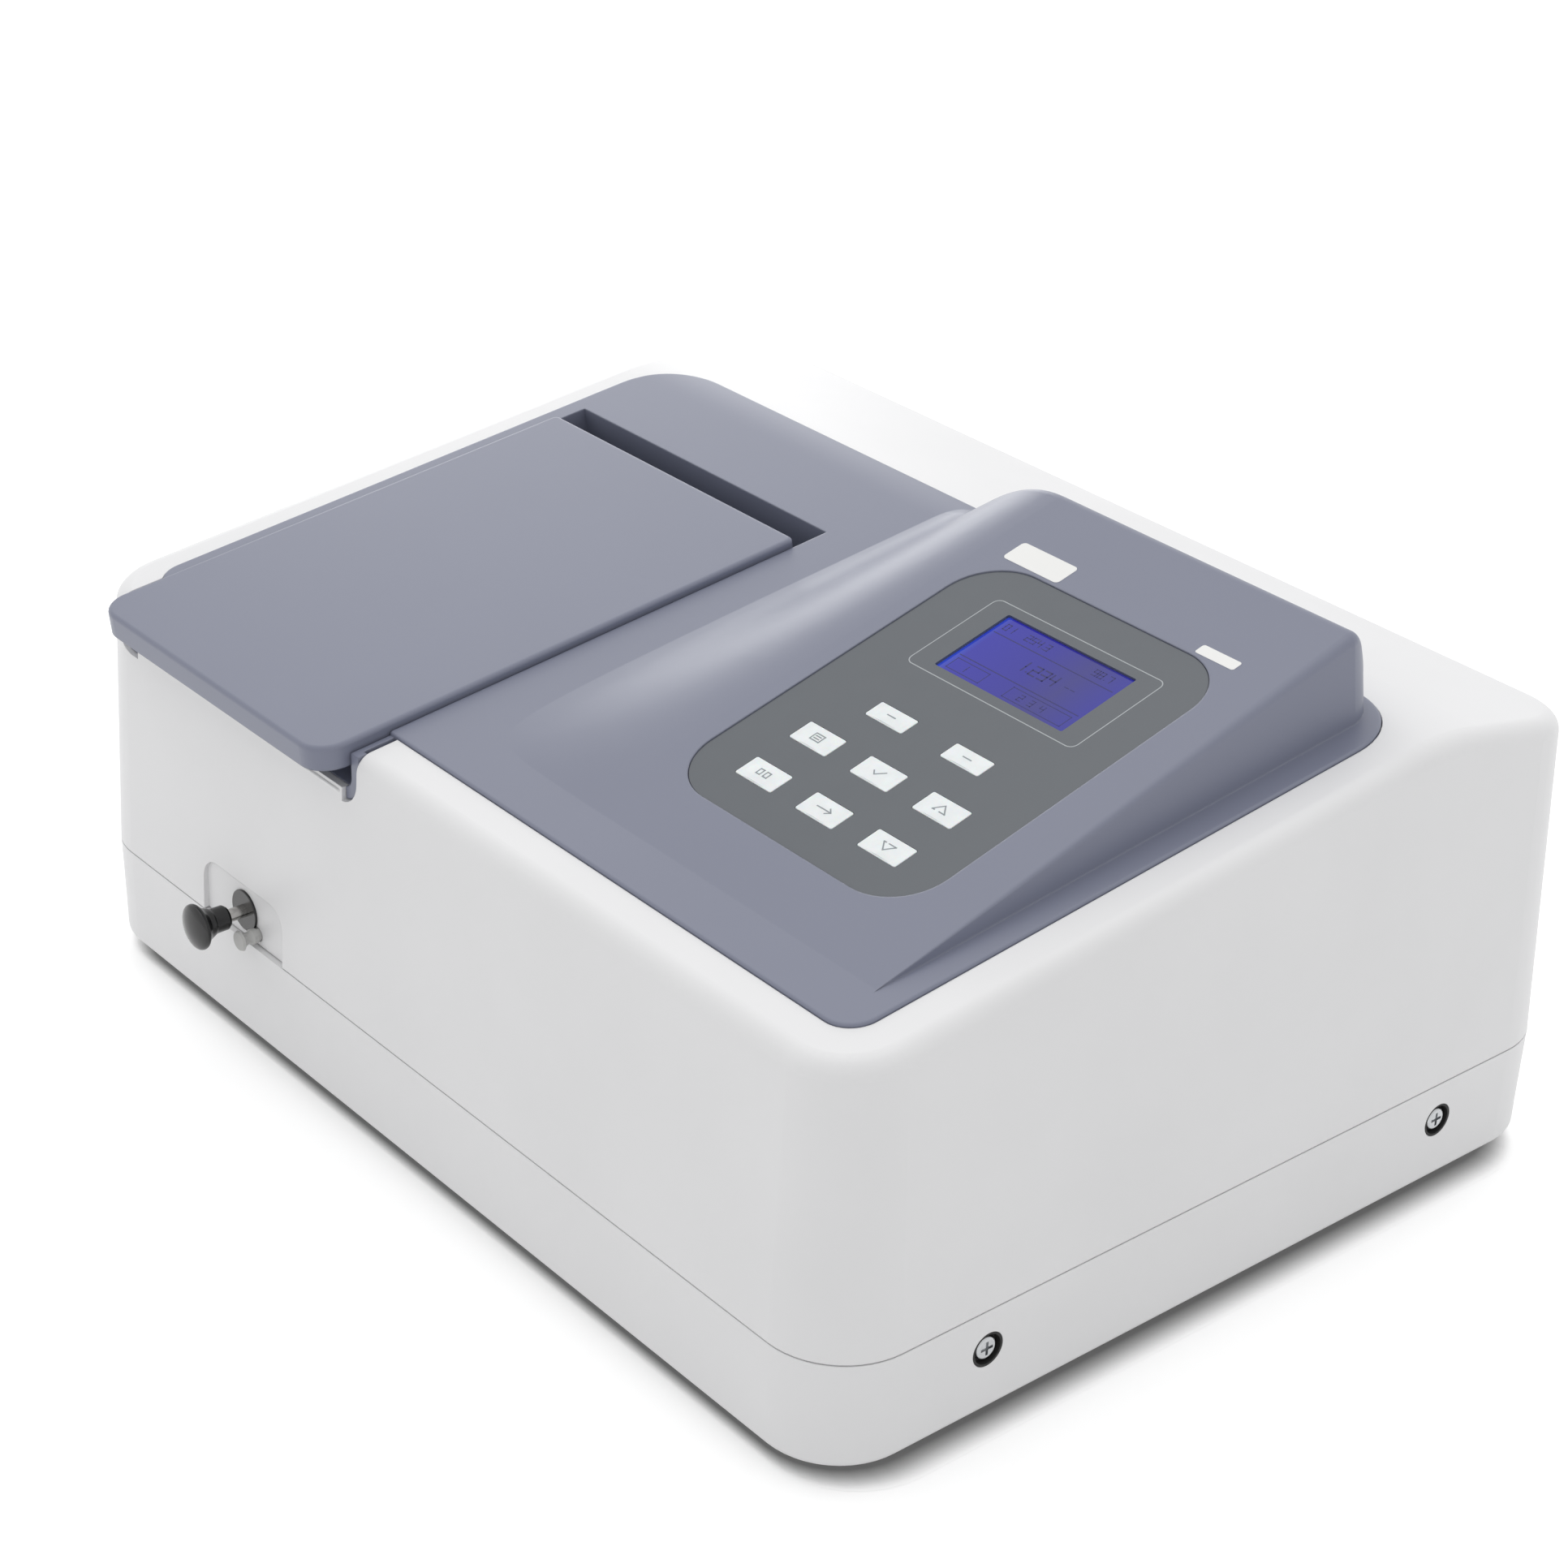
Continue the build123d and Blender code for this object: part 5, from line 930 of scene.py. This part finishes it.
@dataclass
class Studio:
    """White tent: pale floor, a sky that is brighter on one side and two broad soft lamps."""

    dim: float = 0.76
    bright: float = 1.16
    bright_side: tuple[float, float, float] = (-0.78, 0.52, 0.35)
    glow_from: float = -0.1
    lamp_power: float = 3.3
    lamp_size: float = 1.6
    side_power: float = 4.2
    side_size: float = 0.9
    floor_lift: float = 0.48
    floor_size: float = 6.0
    # Footprint of the base, and the widths and lift of the painted shadow pad around it
    base_size: Point2 = (0.436, 0.338)
    base_corner: float = 0.03
    base_middle: Point2 = (0.0, 0.011)
    shade_front: float = 0.0045
    shade_side: float = 0.012
    shade_lift: float = 0.2 * MM
    top_place: tuple[float, float, float] = (-0.3, 0.1, 1.7)
    top_aim: tuple[float, float, float] = (0.0, 0.0, 0.1)
    side_place: tuple[float, float, float] = (-1.6, 1.0, 0.55)
    side_aim: tuple[float, float, float] = (0.0, 0.0, 0.15)

    def build(self) -> None:
        """Make the world, the floor and the lamp."""
        self.world()
        self.floor()
        self.contact_shade()
        self.lamp("top_lamp", self.top_place, self.top_aim, self.lamp_power, self.lamp_size)
        self.lamp("side_lamp", self.side_place, self.side_aim, self.side_power, self.side_size)
        log.info("studio: sky, floor, contact shade and two lamps")

    def world(self) -> None:
        """Soft white sky, brighter towards one side; what is seen or mirrored of it is pure white."""
        world = bpy.data.worlds.new("tent")
        bpy.context.scene.world = world
        world.use_nodes = True
        tree = world.node_tree
        back = tree.nodes["Background"]
        sky = tree.nodes.new("ShaderNodeTexCoord")
        side = tree.nodes.new("ShaderNodeVectorMath")
        side.operation = "DOT_PRODUCT"
        side.inputs[1].default_value = Vector(self.bright_side).normalized()
        tree.links.new(sky.outputs["Generated"], side.inputs[0])
        glow = tree.nodes.new("ShaderNodeMapRange")
        glow.interpolation_type = "SMOOTHSTEP"
        tree.links.new(side.outputs["Value"], glow.inputs["Value"])
        ends = {"From Min": self.glow_from, "From Max": 1.0, "To Min": self.dim, "To Max": self.bright}
        for name, value in ends.items():
            glow.inputs[name].default_value = value
        strength = tree.nodes.new("ShaderNodeMapRange")
        tree.links.new(background_rays(tree), strength.inputs["Value"])
        tree.links.new(glow.outputs["Result"], strength.inputs["To Min"])
        strength.inputs["To Max"].default_value = 1.0
        tree.links.new(strength.outputs["Result"], back.inputs["Strength"])
        back.inputs["Color"].default_value = (1, 1, 1, 1)

    def floor(self) -> None:
        """Pale floor that the camera sees as white."""
        half = self.floor_size / 2
        spots = [(-half, -half, 0.0), (half, -half, 0.0), (half, half, 0.0), (-half, half, 0.0)]
        self.ground("floor", spots, [(0, 1, 2, 3)], [1.0] * 4)

    def contact_shade(self) -> None:
        """Pad under the instrument with a painted shadow: dark under its edge, fading out to the white of the
        floor.
        """
        width, depth = self.base_size
        spots, fades, faces = [], [], []
        rings = (0.0, 0.2, 0.4, 0.6, 0.8, 1.0)
        for fade in rings:
            reach_u, reach_v = fade * self.shade_side, fade * self.shade_front
            line = rounded(*self.base_middle, width + 2 * reach_u, depth + 2 * reach_v,
                           self.base_corner + min(reach_u, reach_v))
            spots += [(u, v, self.shade_lift) for u, v in line]
            fades += [fade] * len(line)
        count = len(spots) // len(rings)
        for ring in range(len(rings) - 1):
            for i in range(count):
                j = (i + 1) % count
                low, high = ring * count, (ring + 1) * count
                faces.append((low + i, high + i, high + j, low + j))
        faces.append(tuple(range(count)))
        self.ground("contact_shade", spots, faces, fades)

    def ground(self, name: str, spots: list, faces: list, fades: list[float]) -> None:
        """Add a flat piece of ground that takes the object's shadow, with a painted shadow that is darkest
        where its fade is 0.

        A little glow lifts what is lit to the white of the background, and leaves the shadow below it.

        Args:
            name: Name of the piece.
            spots: Vertices.
            faces: Faces as vertex numbers.
            fades: One fade for each vertex: 0 for the darkest painted shadow, 1 for the plain floor.
        """
        data = bpy.data.meshes.new(name)
        data.from_pydata(spots, [], faces)
        layer = data.attributes.new("fade", "FLOAT", "POINT")
        layer.data.foreach_set("value", fades)
        piece = bpy.data.objects.new(name, data)
        bpy.context.scene.collection.objects.link(piece)
        graph = Graph(name)
        fade = graph.add("Attribute", attribute_name="fade").outputs["Fac"]
        # The ramp paints the shadow under the instrument's edge: dark grey at fade 0, the floor's pale colour
        # at 1.
        tone = graph.ramp(fade, ((0.0, linear("#6E6E6E")), (0.35, linear("#A2A2A2")),
                                 (1.0, linear("#EAEAEA"))))
        graph.set(Base_Color=tone, Roughness=graph.spread(graph.noise(0.2), 0.66, 0.74))
        lift = graph.add("Math", {0: graph.seen(), 1: self.floor_lift}, operation="MULTIPLY").outputs["Value"]
        glow = graph.add("Emission", {"Color": tone, "Strength": lift})
        both = graph.add("AddShader", {0: graph.shader.outputs["BSDF"], 1: glow.outputs["Emission"]})
        graph.feed(graph.output.inputs["Surface"], both.outputs["Shader"])
        paint(piece, graph.material)
        piece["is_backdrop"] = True

    def lamp(self, name: str, place: Sequence[float], aim: Sequence[float], power: float,
             size: float) -> None:
        """Add a square soft lamp.

        Args:
            name: Name of the lamp.
            place: Its position.
            aim: Point that it shines at.
            power: Its power in watts.
            size: Side of its square.
        """
        data = bpy.data.lights.new(name, "AREA")
        data.energy = power
        data.size = size
        piece = bpy.data.objects.new(name, data)
        piece.location = place
        piece.rotation_euler = (Vector(aim) - Vector(place)).to_track_quat("-Z", "Y").to_euler()
        bpy.context.scene.collection.objects.link(piece)


@dataclass
class PhotoCamera:
    """Camera at the photograph's viewing angle."""

    azimuth: float = 49.517
    elevation: float = 27.324
    roll: float = 1.925
    distance: float = 1.27172
    target: tuple[float, float, float] = (0.0, -0.01826, 0.08813)
    slide: Point2 = (0.01318, 0.04301)
    lens: float = 78.762
    shift: Point2 = (0.00428, -0.03082)

    def build(self) -> None:
        """Make the camera and set it as the scene's."""
        azimuth, elevation, roll = (math.radians(v) for v in (self.azimuth, self.elevation, self.roll))
        back = Vector((math.sin(azimuth) * math.cos(elevation), -math.cos(azimuth) * math.cos(elevation),
                       math.sin(elevation)))
        side = Vector((0, 0, 1)).cross(back).normalized()
        up = back.cross(side)
        right = side * math.cos(roll) + up * math.sin(roll)
        top = up * math.cos(roll) - side * math.sin(roll)
        place = Vector(self.target) + back * self.distance + right * self.slide[0] + top * self.slide[1]
        data = bpy.data.cameras.new("photo_camera")
        data.sensor_width = 36.0
        data.lens = self.lens
        data.shift_x, data.shift_y = self.shift
        camera = bpy.data.objects.new("photo_camera", data)
        turn = Matrix((right, top, back)).transposed().to_4x4()
        camera.matrix_world = Matrix.Translation(place) @ turn
        bpy.context.scene.collection.objects.link(camera)
        bpy.context.scene.camera = camera
        log.info("camera: lens %.1f mm", self.lens)


def corners() -> list[list[float]]:
    """Return the shown object's box.

    Returns:
        Its lowest and highest corner.
    """
    return [list(corner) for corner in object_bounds()]


def main() -> None:
    """Build the scene in order."""
    logging.basicConfig(level=logging.INFO, format="%(name)s: %(message)s")
    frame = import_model()
    palette = Palette()
    palette.dress(frame["nodes"])
    pod = SlopedFace(149.9 * MM, 15.0)
    Keypad(pod, palette).build()
    Display(pod, palette, frame["nodes"]["display_window"]).build()
    BareLabels(pod, palette).build()
    RimBead(palette, frame["nodes"]["upper_housing"], frame["nodes"]["compartment_lid"]).build()
    Studio().build()
    PhotoCamera().build()
    bpy.context.scene.view_settings.view_transform = "Standard"


if __name__ == "__main__":
    main()
